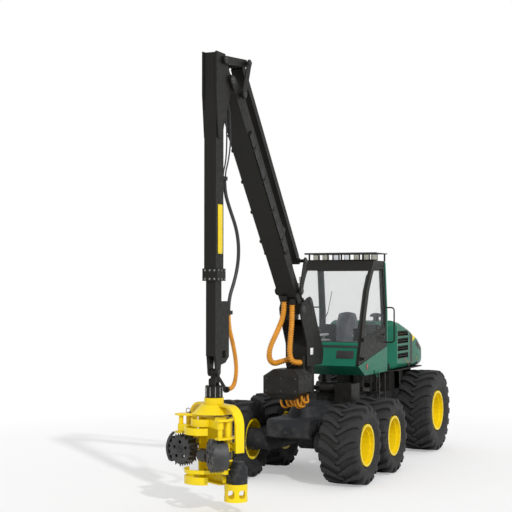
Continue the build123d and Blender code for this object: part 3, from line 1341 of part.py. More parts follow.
with BuildPart() as saw_bar:
    with BuildSketch(HEAD_PLANE.offset(BAR_Z[0])) as blade:
        with Locations(SAW_PIVOT):
            Circle(34)
        with Locations((SAW_PIVOT[0] - 680, SAW_PIVOT[1])):
            Circle(28)
        make_hull()
        with Locations(SAW_PIVOT):
            Circle(20 + SEAT_GAP, mode=Mode.SUBTRACT)
    extrude(blade.sketch, amount=BAR_Z[1] - BAR_Z[0])
save(saw_bar, "saw_bar")
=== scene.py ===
"""Forestry harvester: finish, fittings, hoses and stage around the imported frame."""

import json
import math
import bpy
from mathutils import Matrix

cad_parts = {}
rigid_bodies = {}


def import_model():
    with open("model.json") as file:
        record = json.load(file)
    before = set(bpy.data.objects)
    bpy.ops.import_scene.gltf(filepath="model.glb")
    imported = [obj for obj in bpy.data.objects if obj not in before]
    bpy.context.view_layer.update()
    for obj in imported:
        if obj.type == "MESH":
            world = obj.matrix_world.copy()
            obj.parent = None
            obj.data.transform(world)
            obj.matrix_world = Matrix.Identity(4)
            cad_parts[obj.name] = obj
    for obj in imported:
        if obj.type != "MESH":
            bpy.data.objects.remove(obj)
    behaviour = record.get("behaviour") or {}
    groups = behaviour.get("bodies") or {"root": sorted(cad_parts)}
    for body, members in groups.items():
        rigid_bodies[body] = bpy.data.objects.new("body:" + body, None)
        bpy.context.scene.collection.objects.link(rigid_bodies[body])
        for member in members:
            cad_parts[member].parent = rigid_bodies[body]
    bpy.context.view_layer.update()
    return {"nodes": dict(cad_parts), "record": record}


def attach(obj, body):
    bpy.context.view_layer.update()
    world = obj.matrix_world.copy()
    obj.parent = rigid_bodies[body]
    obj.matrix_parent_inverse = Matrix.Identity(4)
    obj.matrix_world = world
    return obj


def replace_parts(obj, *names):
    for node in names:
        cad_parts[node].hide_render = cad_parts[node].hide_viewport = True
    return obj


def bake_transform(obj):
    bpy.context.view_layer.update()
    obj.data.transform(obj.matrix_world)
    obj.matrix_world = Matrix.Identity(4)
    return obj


bl_info = {
    "name": "Forestry Harvester Finish",
    "version": (1, 0, 0),
    "blender": (4, 5, 0),
    "location": "View3D > Sidebar > Harvester",
    "description": "Dresses the packed forestry harvester with paint, glass, hoses, fittings and a stage",
    "category": "Object",
}

import bmesh
import bpy
from mathutils import Matrix, Vector

for leftover in list(bpy.data.objects):
    bpy.data.objects.remove(leftover)
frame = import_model()

# Metres. +Z up, the machine faces -Y, +X is its left side; "aft" counts behind the bogie's middle
BOGIE_Y = -0.191
CAB_HALF = 0.70
# (aft, height) along the cab's front, and of the pins that fittings are placed by
FRONT_LINE = [(0.674, 1.92), (0.842, 2.40), (0.961, 2.86), (1.133, 3.307), (1.33, 3.61), (1.52, 3.83)]
BOOM_PIVOT = (-0.774, 2.987)
BOOM_TIP = (-3.551, 6.575)
WRIST = (-3.859, 2.085)
HEAD_TURN = math.radians(-30)
OUTSIDE = 1.5  # x from which a line is sent in to find a side face

# name of the wheel, its side, aft, radius, middle x, rim radius
WHEELS = [
    ("front_left", 1, -0.743, 0.68, 1.071, 0.362),
    ("front_right", -1, -0.743, 0.68, 1.071, 0.362),
    ("middle_left", 1, 0.743, 0.68, 1.071, 0.362),
    ("middle_right", -1, 0.743, 0.68, 1.071, 0.362),
    ("rear_left", 1, 4.067, 0.829, 0.93, 0.407),
    ("rear_right", -1, 4.067, 0.829, 0.93, 0.407),
]

# Free hoses: (x, aft, height) of their routes' points
RIGHT_HOSE = [
    (-0.060, -1.016, 3.130),
    (-0.060, -1.016, 2.900),
    (-0.110, -1.190, 2.620),
    (-0.200, -1.330, 2.330),
    (-0.236, -1.270, 2.130),
    (-0.215, -1.100, 2.045),
    (-0.130, -0.960, 2.085),
    (-0.045, -0.900, 2.110),
    (-0.045, -0.800, 2.110),
]
LEFT_HOSE = [
    (0.072, -0.973, 3.075),
    (0.072, -0.973, 2.800),
    (0.056, -1.010, 2.480),
    (0.050, -1.040, 2.240),
    (0.070, -1.000, 2.090),
    (0.150, -0.900, 2.060),
    (0.150, -0.800, 2.060),
]
STICK_HOSE = [
    (0.070, -3.640, 5.020),
    (0.070, -3.640, 4.840),
    (0.070, -3.440, 4.570),
    (0.066, -3.210, 4.300),
    (0.056, -3.100, 4.030),
    (0.042, -3.095, 3.750),
    (0.024, -3.190, 3.470),
    (0.000, -3.350, 3.190),
    (0.000, -3.350, 3.010),
]
HEAD_HOSE = [
    (0.000, -3.350, 2.950),
    (0.000, -3.350, 2.760),
    (0.000, -3.190, 2.480),
    (0.000, -3.090, 2.226),
    (0.000, -3.068, 2.035),
    (0.000, -3.125, 1.870),
    (0.000, -3.240, 1.785),
    (0.000, -3.405, 1.785),
]


def at(x, aft, z):
    """A point given by its distance behind the bogie, in the shared frame."""
    return Vector((x, BOGIE_Y + aft, z))


def front_aft(z):
    """The aft value of the cab's front at a height."""
    for (y0, z0), (y1, z1) in zip(FRONT_LINE, FRONT_LINE[1:]):
        if z0 <= z <= z1:
            return y0 + (y1 - y0) * (z - z0) / (z1 - z0)
    return FRONT_LINE[-1][0]


def head_point(x, y, z):
    """A point of the head's own frame, turned with it, in the shared frame."""
    cos, sin = math.cos(HEAD_TURN), math.sin(HEAD_TURN)
    return at(x * cos - y * sin, WRIST[0] + x * sin + y * cos, z)


# Materials
def add_node(tree, kind, values=(), **settings):
    """A shader node with its settings, and with values given or joined to its inputs by name or number."""
    made = tree.nodes.new(kind)
    for key, value in settings.items():
        setattr(made, key, value)
    for key, value in dict(values).items():
        join(tree, value, made.inputs[key])
    return made


def join(tree, source, target):
    """Feed an input from a socket, a colour or vector, or a number."""
    if hasattr(source, "is_output"):
        tree.links.new(source, target)
    elif hasattr(source, "__len__") and len(target.default_value) > len(source):
        target.default_value = (*source, 1.0)
    else:
        target.default_value = source


class Finish:
    """One material: a Principled shader with helpers for procedural detail in Object coordinates."""

    def __init__(self, name, base, roughness, metallic=0.0, specular=0.5):
        self.material = bpy.data.materials.new(name)
        self.material.use_nodes = True
        self.tree = self.material.node_tree
        self.shader = self.tree.nodes["Principled BSDF"]
        self.set("Base Color", base)
        self.set("Roughness", roughness)
        self.set("Metallic", metallic)
        self.set("Specular IOR Level", specular)
        self.place = self.node("ShaderNodeTexCoord").outputs["Object"]
        self.material.diffuse_color = (*base, 1.0)
        self.axes = None

    def set(self, name, source):
        """Give or join one of the shader's inputs."""
        join(self.tree, source, self.shader.inputs[name])

    def node(self, kind, values=(), **settings):
        return add_node(self.tree, kind, values, **settings)

    def axis(self, index):
        if self.axes is None:
            self.axes = self.node("ShaderNodeSeparateXYZ", {0: self.place})
        return self.axes.outputs[index]

    def math(self, operation, a, b=0.0):
        return self.node("ShaderNodeMath", {0: a, 1: b}, operation=operation).outputs[0]

    def stretched(self, scale, shift=(0.0, 0.0, 0.0)):
        if scale is None:
            return self.place
        values = {"Scale": scale, "Location": shift, "Vector": self.place}
        return self.node("ShaderNodeMapping", values).outputs["Vector"]

    def noise(self, scale, detail=4.0, roughness=0.55, stretch=None):
        values = {"Scale": scale, "Detail": detail, "Roughness": roughness, "Vector": self.stretched(stretch)}
        return self.node("ShaderNodeTexNoise", values).outputs["Fac"]

    def waves(self, scale, distortion, stretch):
        values = {"Scale": scale, "Distortion": distortion, "Vector": self.stretched(stretch)}
        return self.node("ShaderNodeTexWave", values).outputs["Fac"]

    def spread(self, value, low, high, to_low=0.0, to_high=1.0):
        values = {"Value": value, "From Min": low, "From Max": high, "To Min": to_low, "To Max": to_high}
        return self.node("ShaderNodeMapRange", values).outputs["Result"]

    def mix(self, factor, a, b):
        values = {"Factor": factor, "A": a, "B": b}
        return self.node("ShaderNodeMix", values, data_type="RGBA").outputs["Result"]

    def between(self, index, low, high, soft=0.002):
        """1 where an axis lies between two values, with a soft edge."""
        value = self.axis(index)
        rise, fall = self.spread(value, low - soft, low + soft), self.spread(value, high + soft, high - soft)
        return self.math("MULTIPLY", rise, fall)

    def colour(self, socket):
        self.set("Base Color", socket)

    def bump(self, height, distance):
        values = {"Strength": 1.0, "Distance": distance, "Height": height}
        self.set("Normal", self.node("ShaderNodeBump", values).outputs["Normal"])

    def painted(self):
        """The colour so far."""
        return self.shader.inputs["Base Color"].links[0].from_socket

    def clouded(self, scale, dark, light, detail, roughness=0.55):
        """A cloudy change between two tones."""
        return self.mix(self.spread(self.noise(scale, detail, roughness), 0.35, 0.7), dark, light)

    def patchy_gloss(self, scale, low, high, detail=6.0, top=0.7):
        """Let the roughness wander between two values."""
        self.set("Roughness", self.spread(self.noise(scale, detail), 0.3, top, low, high))

    def grain(self, scale, depth, detail, roughness=0.55):
        """A fine texture of the surface, depth metres deep."""
        self.bump(self.noise(scale, detail, roughness), depth)


def shade(base, factor):
    return tuple(value * factor for value in base)


DUST = (0.15, 0.135, 0.11)


def paint(name, base, roughness=0.36, dust=0.25, coat=0.15, peel=0.00045):
    """Sprayed enamel: faint cloudiness, a light film of dust low down and a fine orange peel."""
    f = Finish(name, base, roughness, 0.0, 0.14)
    f.set("Coat Weight", coat)
    f.set("Coat Roughness", 0.2)
    tone = f.clouded(1.7, shade(base, 0.9), shade(base, 1.08), 5.0)
    film = f.math("MULTIPLY", f.spread(f.noise(9.0, 7.0, 0.65), 0.48, 0.75), f.spread(f.axis(2), 2.4, 0.3))
    f.colour(f.mix(f.math("MULTIPLY", film, dust), tone, DUST))
    f.patchy_gloss(14.0, roughness - 0.07, roughness + 0.16, top=0.75)
    f.grain(260.0, peel, 2.0)
    return f


def yellow_paint():
    """Yellow enamel, scuffed to primer in small spots where timber runs against it."""
    f = paint("yellow_enamel", YELLOW, 0.32, 0.12, 0.25)
    spots = f.spread(f.noise(26.0, 8.0, 0.7), 0.66, 0.7)
    scuff = f.math("MULTIPLY", spots, f.spread(f.noise(3.0, 2.0), 0.5, 0.62))
    f.colour(f.mix(scuff, f.painted(), (0.16, 0.14, 0.1)))
    return f.material


def hood_paint():
    """Green, with the black louvre grids, the black band and the yellow corner painted on."""
    f = paint("hood_enamel", GREEN, 0.36, 0.1, 0.08)
    colour = f.painted()
    along = f.axis(1)
    height = f.axis(2)
    band = f.between(1, BOGIE_Y + 3.775, BOGIE_Y + 3.94)
    colour = f.mix(band, colour, BLACK)

    def under(aft, z, slope):
        """1 below a sloping line through a point of the side view."""
        line = f.math("ADD", height, f.math("MULTIPLY", along, -slope))
        level = z - slope * (BOGIE_Y + aft)
        return f.spread(line, level + 0.002, level - 0.002)

    def over(aft, z, slope):
        return f.math("SUBTRACT", 1.0, under(aft, z, slope))

    corner = f.math("MULTIPLY", under(4.03, 2.47, -0.29), over(4.03, 2.274, 0.35))
    corner = f.math("MULTIPLY", corner, f.spread(along, BOGIE_Y + 3.958, BOGIE_Y + 3.962))
    colour = f.mix(corner, colour, YELLOW)
    grille = f.math("MULTIPLY", under(4.177, 2.265, -0.314), over(4.176, 2.15, -0.345))
    grille = f.math("MULTIPLY", grille, f.between(1, BOGIE_Y + 4.18, BOGIE_Y + 4.56))
    colour = f.mix(grille, colour, BLACK)
    rows = None
    for z in (1.99, 2.14, 2.29, 2.44):
        row = f.between(2, z - 0.054, z + 0.054)
        rows = row if rows is None else f.math("ADD", rows, row)
    slats = f.math("MULTIPLY", rows, f.between(1, BOGIE_Y + 2.958, BOGIE_Y + 3.652))
    colour = f.mix(slats, colour, shade(BLACK, 0.8))
    tail = f.math("MULTIPLY", f.between(2, 1.862, 1.998), f.spread(along, BOGIE_Y + 4.70, BOGIE_Y + 4.702))
    tail = f.math("MULTIPLY", tail, f.between(0, -0.448, 0.448))
    f.colour(f.mix(tail, colour, BLACK))
    return f.material


def cast_iron():
    f = Finish("dark_steel", (0.05, 0.05, 0.052), 0.5, 0.35)
    rust = f.math("MULTIPLY", f.spread(f.noise(18.0, 8.0, 0.75), 0.62, 0.78), 0.35)
    bare = f.clouded(6.0, (0.032, 0.032, 0.034), (0.07, 0.07, 0.072), 8.0, 0.7)
    f.colour(f.mix(rust, bare, (0.11, 0.06, 0.03)))
    f.patchy_gloss(22.0, 0.38, 0.62)
    f.grain(120.0, 0.0015, 5.0, 0.7)
    return f.material


def engine_iron():
    f = Finish("engine_grey", (0.1, 0.1, 0.1), 0.65)
    f.colour(f.clouded(5.0, (0.06, 0.06, 0.06), (0.14, 0.135, 0.13), 8.0, 0.7))
    f.grain(90.0, 0.002, 5.0, 0.7)
    return f.material


def bright_rod():
    f = Finish("chromed_rod", (0.62, 0.63, 0.65), 0.16, 1.0)
    f.patchy_gloss(40.0, 0.1, 0.24)
    f.grain(300.0, 0.0002, 2.0)
    return f.material


def bare_steel():
    f = Finish("zinc_plate", (0.32, 0.32, 0.31), 0.4, 0.8)
    f.colour(f.clouded(30.0, (0.2, 0.2, 0.19), (0.42, 0.42, 0.4), 6.0))
    f.grain(220.0, 0.0004, 3.0)
    return f.material


def clear_glass(name="window_pane", tint=(0.2, 0.225, 0.23), opacity=0.1):
    """Safety glass: mostly clear, with a faint tint, streaks and a glossy face."""
    f = Finish(name, tint, 0.03, 0.0, 0.7)
    f.set("Alpha", opacity)
    streaks = f.spread(f.noise(2.2, 6.0, 0.6, (1.0, 1.0, 0.25)), 0.4, 0.75)
    f.colour(f.mix(streaks, tint, shade(tint, 1.5)))
    f.patchy_gloss(5.0, 0.02, 0.1, 5.0, 0.8)
    return f.material


def lens_glass(name, base):
    """A lamp's fluted front lens."""
    f = Finish(name, base, 0.12, 0.0, 0.8)
    flutes = f.waves(38.0, 0.0, (1.0, 0.0, 0.0))
    f.colour(f.mix(flutes, shade(base, 0.6), base))
    f.bump(flutes, 0.002)
    return f.material


def tyre_rubber(name, centre, radius, rim):
    """Dark rubber with moulded rings on the sidewalls and a trace of dried mud between the lugs."""
    f = Finish(name, RUBBER, 0.72, 0.0, 0.35)
    centred = f.stretched((1.0, 1.0, 1.0), (0.0, -centre[1], -centre[2]))
    parts = f.node("ShaderNodeSeparateXYZ", {0: centred})
    squares = [f.math("MULTIPLY", parts.outputs[index], parts.outputs[index]) for index in (1, 2)]
    reach = f.math("SQRT", f.math("ADD", *squares))
    worn = f.math("MULTIPLY", f.spread(reach, radius - 0.03, radius), 0.35)
    between_lugs = f.spread(reach, radius - 0.02, radius - 0.09)
    mud = f.math("MULTIPLY", f.spread(f.noise(11.0, 8.0, 0.7), 0.52, 0.7), between_lugs)
    cloud = f.clouded(7.0, shade(RUBBER, 0.82), shade(RUBBER, 1.2), 7.0, 0.65)
    colour = f.mix(f.math("MULTIPLY", mud, 0.22), cloud, DUST)
    f.colour(f.mix(worn, colour, shade(RUBBER, 1.9)))
    rings = f.math("SINE", f.math("MULTIPLY", reach, 330.0))
    rings = f.math("MULTIPLY", rings, f.spread(reach, rim + 0.13, rim + 0.09))
    f.bump(f.math("ADD", f.math("MULTIPLY", rings, 0.5), f.noise(70.0, 6.0, 0.65)), 0.0022)
    return f.material


def hose_rubber(name, base, roughness):
    f = Finish(name, base, roughness, 0.0, 0.4)
    f.colour(f.clouded(8.0, shade(base, 0.85), shade(base, 1.1), 6.0))
    f.patchy_gloss(30.0, roughness - 0.08, roughness + 0.12, 5.0)
    f.grain(240.0, 0.0006, 3.0)
    return f.material


def moulded_plastic(name, base, roughness=0.55):
    f = Finish(name, base, roughness, 0.0, 0.4)
    f.colour(f.clouded(4.0, shade(base, 0.92), shade(base, 1.06), 5.0))
    pits = f.node("ShaderNodeTexVoronoi", {"Scale": 420.0, "Vector": f.place})
    f.bump(pits.outputs["Distance"], 0.0006)
    return f.material


def seat_cloth():
    """Grey woven upholstery with a rib about 8 mm wide."""
    f = Finish("woven_grey", FABRIC, 0.9, 0.0, 0.2)
    f.set("Sheen Weight", 0.25)
    weave = f.math("MULTIPLY", *(f.waves(60.0, 0.6, turn) for turn in ((1.0, 0.0, 0.0), (0.0, 0.7, 0.7))))
    cloud = f.clouded(9.0, shade(FABRIC, 0.85), shade(FABRIC, 1.12), 6.0)
    f.colour(f.mix(f.math("MULTIPLY", weave, 0.4), cloud, shade(FABRIC, 0.55)))
    f.bump(weave, 0.0012)
    return f.material


GREEN = (0.010, 0.135, 0.080)
BLACK = (0.013, 0.0125, 0.0105)
GREY = (0.024, 0.0255, 0.029)
YELLOW = (0.84, 0.62, 0.005)
RUBBER = (0.018, 0.018, 0.019)
ORANGE = (0.62, 0.25, 0.012)
FABRIC = (0.15, 0.155, 0.17)
MATERIALS = {}


def make_materials():
    MATERIALS.update(
        green_paint=paint("green_enamel", GREEN, 0.36, 0.12, 0.08).material,
        black_paint=paint("crane_black", BLACK, 0.44, 0.2, 0.04).material,
        grey_paint=paint("frame_grey", GREY, 0.5, 0.4, 0.0, 0.0008).material,
        yellow_paint=yellow_paint(),
        hood_paint=hood_paint(),
        window_glass=clear_glass(),
        tool_steel=cast_iron(),
        engine_iron=engine_iron(),
        cylinder_rod=bright_rod(),
        zinc=bare_steel(),
        orange_hose=hose_rubber("orange_sleeve", ORANGE, 0.5),
        black_hose=hose_rubber("black_hose", (0.028, 0.028, 0.03), 0.42),
        cab_plastic=moulded_plastic("cab_moulding", (0.1, 0.1, 0.105)),
        pale_plastic=moulded_plastic("pale_moulding", (0.5, 0.5, 0.49)),
        trim_fabric=seat_cloth(),
        seal_rubber=moulded_plastic("window_seal", (0.02, 0.02, 0.021), 0.6),
        lens_pale=lens_glass("lens_pale", (0.8, 0.84, 0.88)),
        lens_warm=lens_glass("lens_warm", (0.42, 0.41, 0.34)),
        red_lens=lens_glass("red_lens", (0.6, 0.03, 0.02)),
        white_plate=moulded_plastic("white_plate", (0.78, 0.78, 0.77), 0.4),
    )
    for label, side, aft, radius, x, rim in WHEELS:
        name = "rubber_" + label
        MATERIALS[name] = tyre_rubber(name, at(side * x, aft, radius), radius, rim)


# Shapes
def link_mesh(name, bm):
    """Turn a bmesh into an object at the origin."""
    mesh = bpy.data.meshes.new(name)
    bm.to_mesh(mesh)
    bm.free()
    piece = bpy.data.objects.new(name, mesh)
    bpy.context.scene.collection.objects.link(piece)
    return piece


def from_bmesh(name, bm, body, material, smooth=38.0):
    """Make a finished piece of a bmesh: outward faces, split shading at sharp edges, material and body.

    body is None for a piece that stays in the shared frame without a body.
    """
    bmesh.ops.remove_doubles(bm, verts=bm.verts, dist=1e-5)
    bmesh.ops.recalc_face_normals(bm, faces=bm.faces)
    piece = link_mesh(name, bm)
    piece.data.shade_smooth()
    piece.data.set_sharp_from_angle(angle=math.radians(smooth))
    piece.data.materials.append(MATERIALS[material])
    if body is not None:
        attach(piece, body)
    return piece


def turn_to(direction):
    """Rotation that takes +Z to a direction."""
    return Vector(direction).to_track_quat("Z", "Y").to_matrix().to_4x4()


def round_edges(bm, verts, offset, segments=2):
    """Bevel the edges at some points."""
    edges = list({edge for vert in verts for edge in vert.link_edges})
    bmesh.ops.bevel(
        bm, geom=edges, offset=offset, segments=segments, profile=0.5, affect="EDGES", material=-1
    )


def add_rod(bm, start, end, radius, sides=16, radius_end=None):
    """A round bar, or a cone, between two points."""
    start, end = Vector(start), Vector(end)
    place = Matrix.Translation((start + end) / 2) @ turn_to(end - start)
    bmesh.ops.create_cone(
        bm, cap_ends=True, segments=sides, radius1=radius,
        radius2=radius if radius_end is None else radius_end, depth=(end - start).length, matrix=place,
    )


def add_box(bm, low, high, edge=0.0):
    """A box between two corners, its edges rounded by edge."""
    low, high = Vector(low), Vector(high)
    size = high - low
    place = Matrix.Translation((low + high) / 2) @ Matrix.Diagonal((*size, 1.0))
    made = bmesh.ops.create_cube(bm, size=1.0, matrix=place)
    if edge:
        round_edges(bm, made["verts"], edge)


def add_prism(bm, corners, sweep, edge=0.0):
    """A face through corners, pushed along sweep."""
    face = bm.faces.new([bm.verts.new(corner) for corner in corners])
    made = bmesh.ops.extrude_face_region(bm, geom=[face])
    moved = [g for g in made["geom"] if isinstance(g, bmesh.types.BMVert)]
    bmesh.ops.translate(bm, verts=moved, vec=Vector(sweep))
    if edge:
        round_edges(bm, moved + list(face.verts), edge)


def add_side_prism(bm, outline, x_from, x_to, edge=0.0):
    """A plate cut to a side-view outline, (aft, height), from one x to the other."""
    add_prism(bm, [at(x_from, y, z) for y, z in outline], (x_to - x_from, 0.0, 0.0), edge)


def add_bolt(bm, seat, direction, radius):
    """A hexagon head on a round washer."""
    seat, direction = Vector(seat), Vector(direction).normalized()
    add_rod(bm, seat, seat + direction * radius * 0.3, radius * 1.45, 12)
    add_rod(bm, seat + direction * radius * 0.3, seat + direction * radius * 1.1, radius, 6)


def add_bolt_ring(bm, centre, direction, ring, count, radius, turn=0.0):
    """Bolts evenly round a circle."""
    frame_of_ring = Matrix.Translation(Vector(centre)) @ turn_to(direction)
    for index in range(count):
        angle = turn + 2 * math.pi * index / count
        seat = frame_of_ring @ Vector((ring * math.cos(angle), ring * math.sin(angle), 0.0))
        add_bolt(bm, seat, direction, radius)


def add_lathe(bm, profile, centre, direction, steps=32):
    """A profile of (radius, distance along direction), spun a full turn; ends on the axis are closed."""
    place = Matrix.Translation(Vector(centre)) @ turn_to(direction)
    verts = [bm.verts.new((r, 0.0, along)) for r, along in profile]
    edges = [bm.edges.new(pair) for pair in zip(verts, verts[1:])]
    made = bmesh.ops.spin(
        bm, geom=verts + edges, cent=(0, 0, 0), axis=(0, 0, 1), angle=2 * math.pi, steps=steps,
        use_merge=True,
    )
    spun = {v for v in verts if v.is_valid}
    spun.update(g for g in made["geom_last"] if isinstance(g, bmesh.types.BMVert) and g.is_valid)
    stack = list(spun)
    while stack:
        for edge in stack.pop().link_edges:
            for vert in edge.verts:
                if vert not in spun:
                    spun.add(vert)
                    stack.append(vert)
    bmesh.ops.transform(bm, matrix=place, verts=list(spun))


def spline_points(route):
    """Points along the smooth spline whose control points are the route's."""
    curve = bpy.data.curves.new("route", "CURVE")
    curve.dimensions = "3D"
    curve.resolution_u = 16
    spline = curve.splines.new("NURBS")
    spline.points.add(len(route) - 1)
    for point, place in zip(spline.points, route):
        point.co = (*place, 1.0)
    spline.order_u = 3
    spline.use_endpoint_u = True
    holder = bpy.data.objects.new("route", curve)
    line = bpy.data.meshes.new_from_object(holder)
    points = [vertex.co.copy() for vertex in line.vertices]
    bpy.data.objects.remove(holder)
    bpy.data.curves.remove(curve)
    bpy.data.meshes.remove(line)
    return points


def evenly(points, spacing):
    """Points at an even distance along a line."""
    lengths = [(b - a).length for a, b in zip(points, points[1:])]
    total = sum(lengths)
    count = max(2, round(total / spacing))
    placed, index, passed = [], 0, 0.0
    for step in range(count + 1):
        target = min(total * step / count, total - 1e-9)
        while passed + lengths[index] < target:
            passed += lengths[index]
            index += 1
        placed.append(points[index].lerp(points[index + 1], (target - passed) / lengths[index]))
    return placed, total


def first_hit(node, start, direction):
    """The point where a line first meets a CAD node, or None."""
    hit, place, _, _ = frame["nodes"][node].ray_cast(Vector(start), Vector(direction))
    return place if hit else None


def surface(node, start, direction):
    """The point where a line first meets a CAD node that it has to meet."""
    place = first_hit(node, start, direction)
    if place is None:
        raise RuntimeError("nothing of " + node + " at " + str(tuple(start)))
    return place


def side_face(node, side, aft, z):
    """The point of a node's outer face on one side of the machine."""
    return surface(node, at(side * OUTSIDE, aft, z), (-side, 0, 0))


def add_tube(bm, points, radii, sides=16):
    """A tube through points with a radius for each, its ends closed; each ring is the last one pushed on."""
    across = (points[1] - points[0]).orthogonal().normalized()
    ring = bmesh.ops.create_circle(bm, cap_ends=True, segments=sides, radius=1.0)["verts"]
    for index, (point, radius) in enumerate(zip(points, radii)):
        ahead = points[min(index + 1, len(points) - 1)] - points[max(index - 1, 0)]
        tangent = ahead.normalized()
        across = (across - tangent * across.dot(tangent)).normalized()
        other = tangent.cross(across)
        if index:
            edges = list({e for v in ring for e in v.link_edges if e.other_vert(v) in ring})
            pushed = bmesh.ops.extrude_edge_only(bm, edges=edges)
            ring_new = [g for g in pushed["geom"] if isinstance(g, bmesh.types.BMVert)]
            links = {e.other_vert(v): v for v in ring_new for e in v.link_edges if e.other_vert(v) in ring}
            ring = [links[v] for v in ring]
        for turn, vert in enumerate(ring):
            angle = 2 * math.pi * turn / sides
            vert.co = point + (across * math.cos(angle) + other * math.sin(angle)) * radius
    bmesh.ops.contextual_create(bm, geom=ring)
def add_pipe(bm, points, radius, sides=10):
    """A tube of one radius."""
    add_tube(bm, points, [radius] * len(points), sides)


def ribbed(count, radius, depth, pattern=(0.0, 1.0, 1.0, 0.0)):
    """Radii of a corrugated sleeve: a groove and a rib in every four stations."""
    return [radius - depth * (1.0 - pattern[index % len(pattern)]) for index in range(count)]


def lay_hose(name, route, radius, body, finish, spacing, sides=12, depth=0.0):
    """A hose on the smooth line through its route, with grooves that deep if it is corrugated."""
    points, total = evenly(spline_points(route), spacing)
    bm = bmesh.new()
    add_tube(bm, points, ribbed(len(points), radius, depth), sides)
    return from_bmesh(name, bm, body, finish, smooth=50.0), points, total


def body_hose(name, route, radius, body, finish, spacing=0.02, depth=0.0):
    """A hose that hangs between two fittings of one body."""
    hose, points, total = lay_hose(name, route, radius, body, finish, spacing, depth=depth)


def joint_hose(name, route, radius, node, bodies, span, finish, spacing=0.02, depth=0.0):
    """A hose in place of a CAD node, kept in the shared frame with no body; bodies and span are not used."""
    route = [at(*point) for point in route]
    hose, points, total = lay_hose(name, route, radius, None, finish, spacing, 18, depth)
    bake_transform(hose)
    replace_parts(hose, node)


# Half widths of the modelled tyres and of the CAD ones, whose outer faces they share
TYRE_HALF = 0.3565
CAD_TYRE_HALF = 0.342


def tyre_half_profile(radius, rim, half):
    """One side of the carcass, from the crown to the bead: (radius, distance from the tyre's middle)."""
    tread = radius - 0.044
    bead = rim + 0.006
    return [
        (tread, 0.0),
        (tread - 0.004, half * 0.4),
        (tread - 0.012, half * 0.72),
        (tread - 0.034, half * 0.9),
        (tread - 0.075, half * 0.975),
        (tread - 0.14, half),
        (bead + (tread - bead) * 0.42, half * 0.985),
        (bead + 0.055, half * 0.9),
        (bead + 0.03, half * 0.855),
        (bead + 0.022, half * 0.855),
        (bead, half * 0.8),
    ]


# Stations along one lug, from its nose on the crown to its foot on the sidewall: share of the half
# width, half its length round the tyre, depth of the bare carcass and of its top below the tread
LUG_STATIONS = [
    (-0.09, 0.026, 0.046, 0.004),
    (0.03, 0.040, 0.046, 0.001),
    (0.25, 0.050, 0.048, 0.000),
    (0.50, 0.058, 0.052, 0.002),
    (0.72, 0.066, 0.060, 0.006),
    (0.90, 0.072, 0.082, 0.012),
    (0.975, 0.070, 0.122, 0.046),
    (0.985, 0.058, 0.190, 0.125),
]
LUG_SWEEP = 0.21  # how far a lug leans round the tyre between its nose and its foot
LUG_TAPER = 0.010  # how much shorter a lug's top is than its foot, at each end
REAR_EXTRA_LUGS = 4


def add_lug(bm, radius, half, side, turn):
    """One tread lug: a bent strip laid on the carcass and pushed outwards, narrower at its top."""
    stations = len(LUG_STATIONS) - 1
    made = bmesh.ops.create_grid(bm, x_segments=stations, y_segments=1, size=1.0)
    strip = made["verts"]
    faces = list({face for vert in strip for face in vert.link_faces})
    raised = bmesh.ops.extrude_face_region(bm, geom=faces)
    tops = {g for g in raised["geom"] if isinstance(g, bmesh.types.BMVert)}
    bmesh.ops.delete(bm, geom=[f for f in faces if f.is_valid], context="FACES_ONLY")
    for vert in set(strip) | tops:
        index = round((vert.co.x + 1.0) / 2.0 * stations)
        share, reach, low, high = LUG_STATIONS[index]
        top = vert in tops
        around = reach - (LUG_TAPER if top else 0.0)
        lean = LUG_SWEEP * math.sin(min(max(share, 0.0), 1.0) * math.pi / 2)
        angle = turn + (lean + (around if vert.co.y > 0 else -around)) / radius
        distance = radius - (high if top else low)
        across = share * half * (1.0 if top or share < 0.9 else 0.985)
        vert.co = (side * across, -distance * math.cos(angle), distance * math.sin(angle))


def make_tyre(label, side, aft, radius, middle, rim, lugs):
    """A wide forestry tyre: a rounded carcass with long leaning lugs, staggered left and right."""
    centre = at(side * (middle + CAD_TYRE_HALF - TYRE_HALF), aft, radius + 0.001)
    bm = bmesh.new()
    one = tyre_half_profile(radius, rim, TYRE_HALF)
    profile = [(r, -x) for r, x in reversed(one[1:])] + one
    add_lathe(bm, profile, (0, 0, 0), (1, 0, 0), 96)
    pitch = 2 * math.pi / lugs
    for index in range(lugs):
        add_lug(bm, radius, TYRE_HALF, 1, index * pitch)
        add_lug(bm, radius, TYRE_HALF, -1, (index + 0.5) * pitch)
    bmesh.ops.translate(bm, verts=bm.verts, vec=centre)
    piece = from_bmesh("tread_" + label, bm, "wheel_" + label, "rubber_" + label, 42.0)
    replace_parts(piece, "tyre_" + label)


def make_wheel_trim(label, side, aft, radius, middle, rim):
    """The rolled inner lip of a rim, its nuts and the hub's cap."""
    out = (side, 0.0, 0.0)
    centre = at(side * middle, aft, radius)
    bm = bmesh.new()
    lip = rim - 0.028
    add_lathe(bm, [(lip, 0.20), (lip + 0.016, 0.212), (lip + 0.018, 0.228), (lip + 0.002, 0.24),
                   (lip - 0.014, 0.228), (lip - 0.016, 0.212), (lip, 0.20)], centre, out, 64)
    from_bmesh("rim_lip_" + label, bm, "wheel_" + label, "yellow_paint")
    bm = bmesh.new()
    seat = centre + Vector(out) * -0.118
    add_bolt_ring(bm, seat, out, 0.15, 10, 0.017)
    add_lathe(bm, [(0.0, 0.055), (0.05, 0.052), (0.085, 0.035), (0.095, 0.0)], seat, out, 32)
    from_bmesh("wheel_nuts_" + label, bm, "wheel_" + label, "tool_steel")


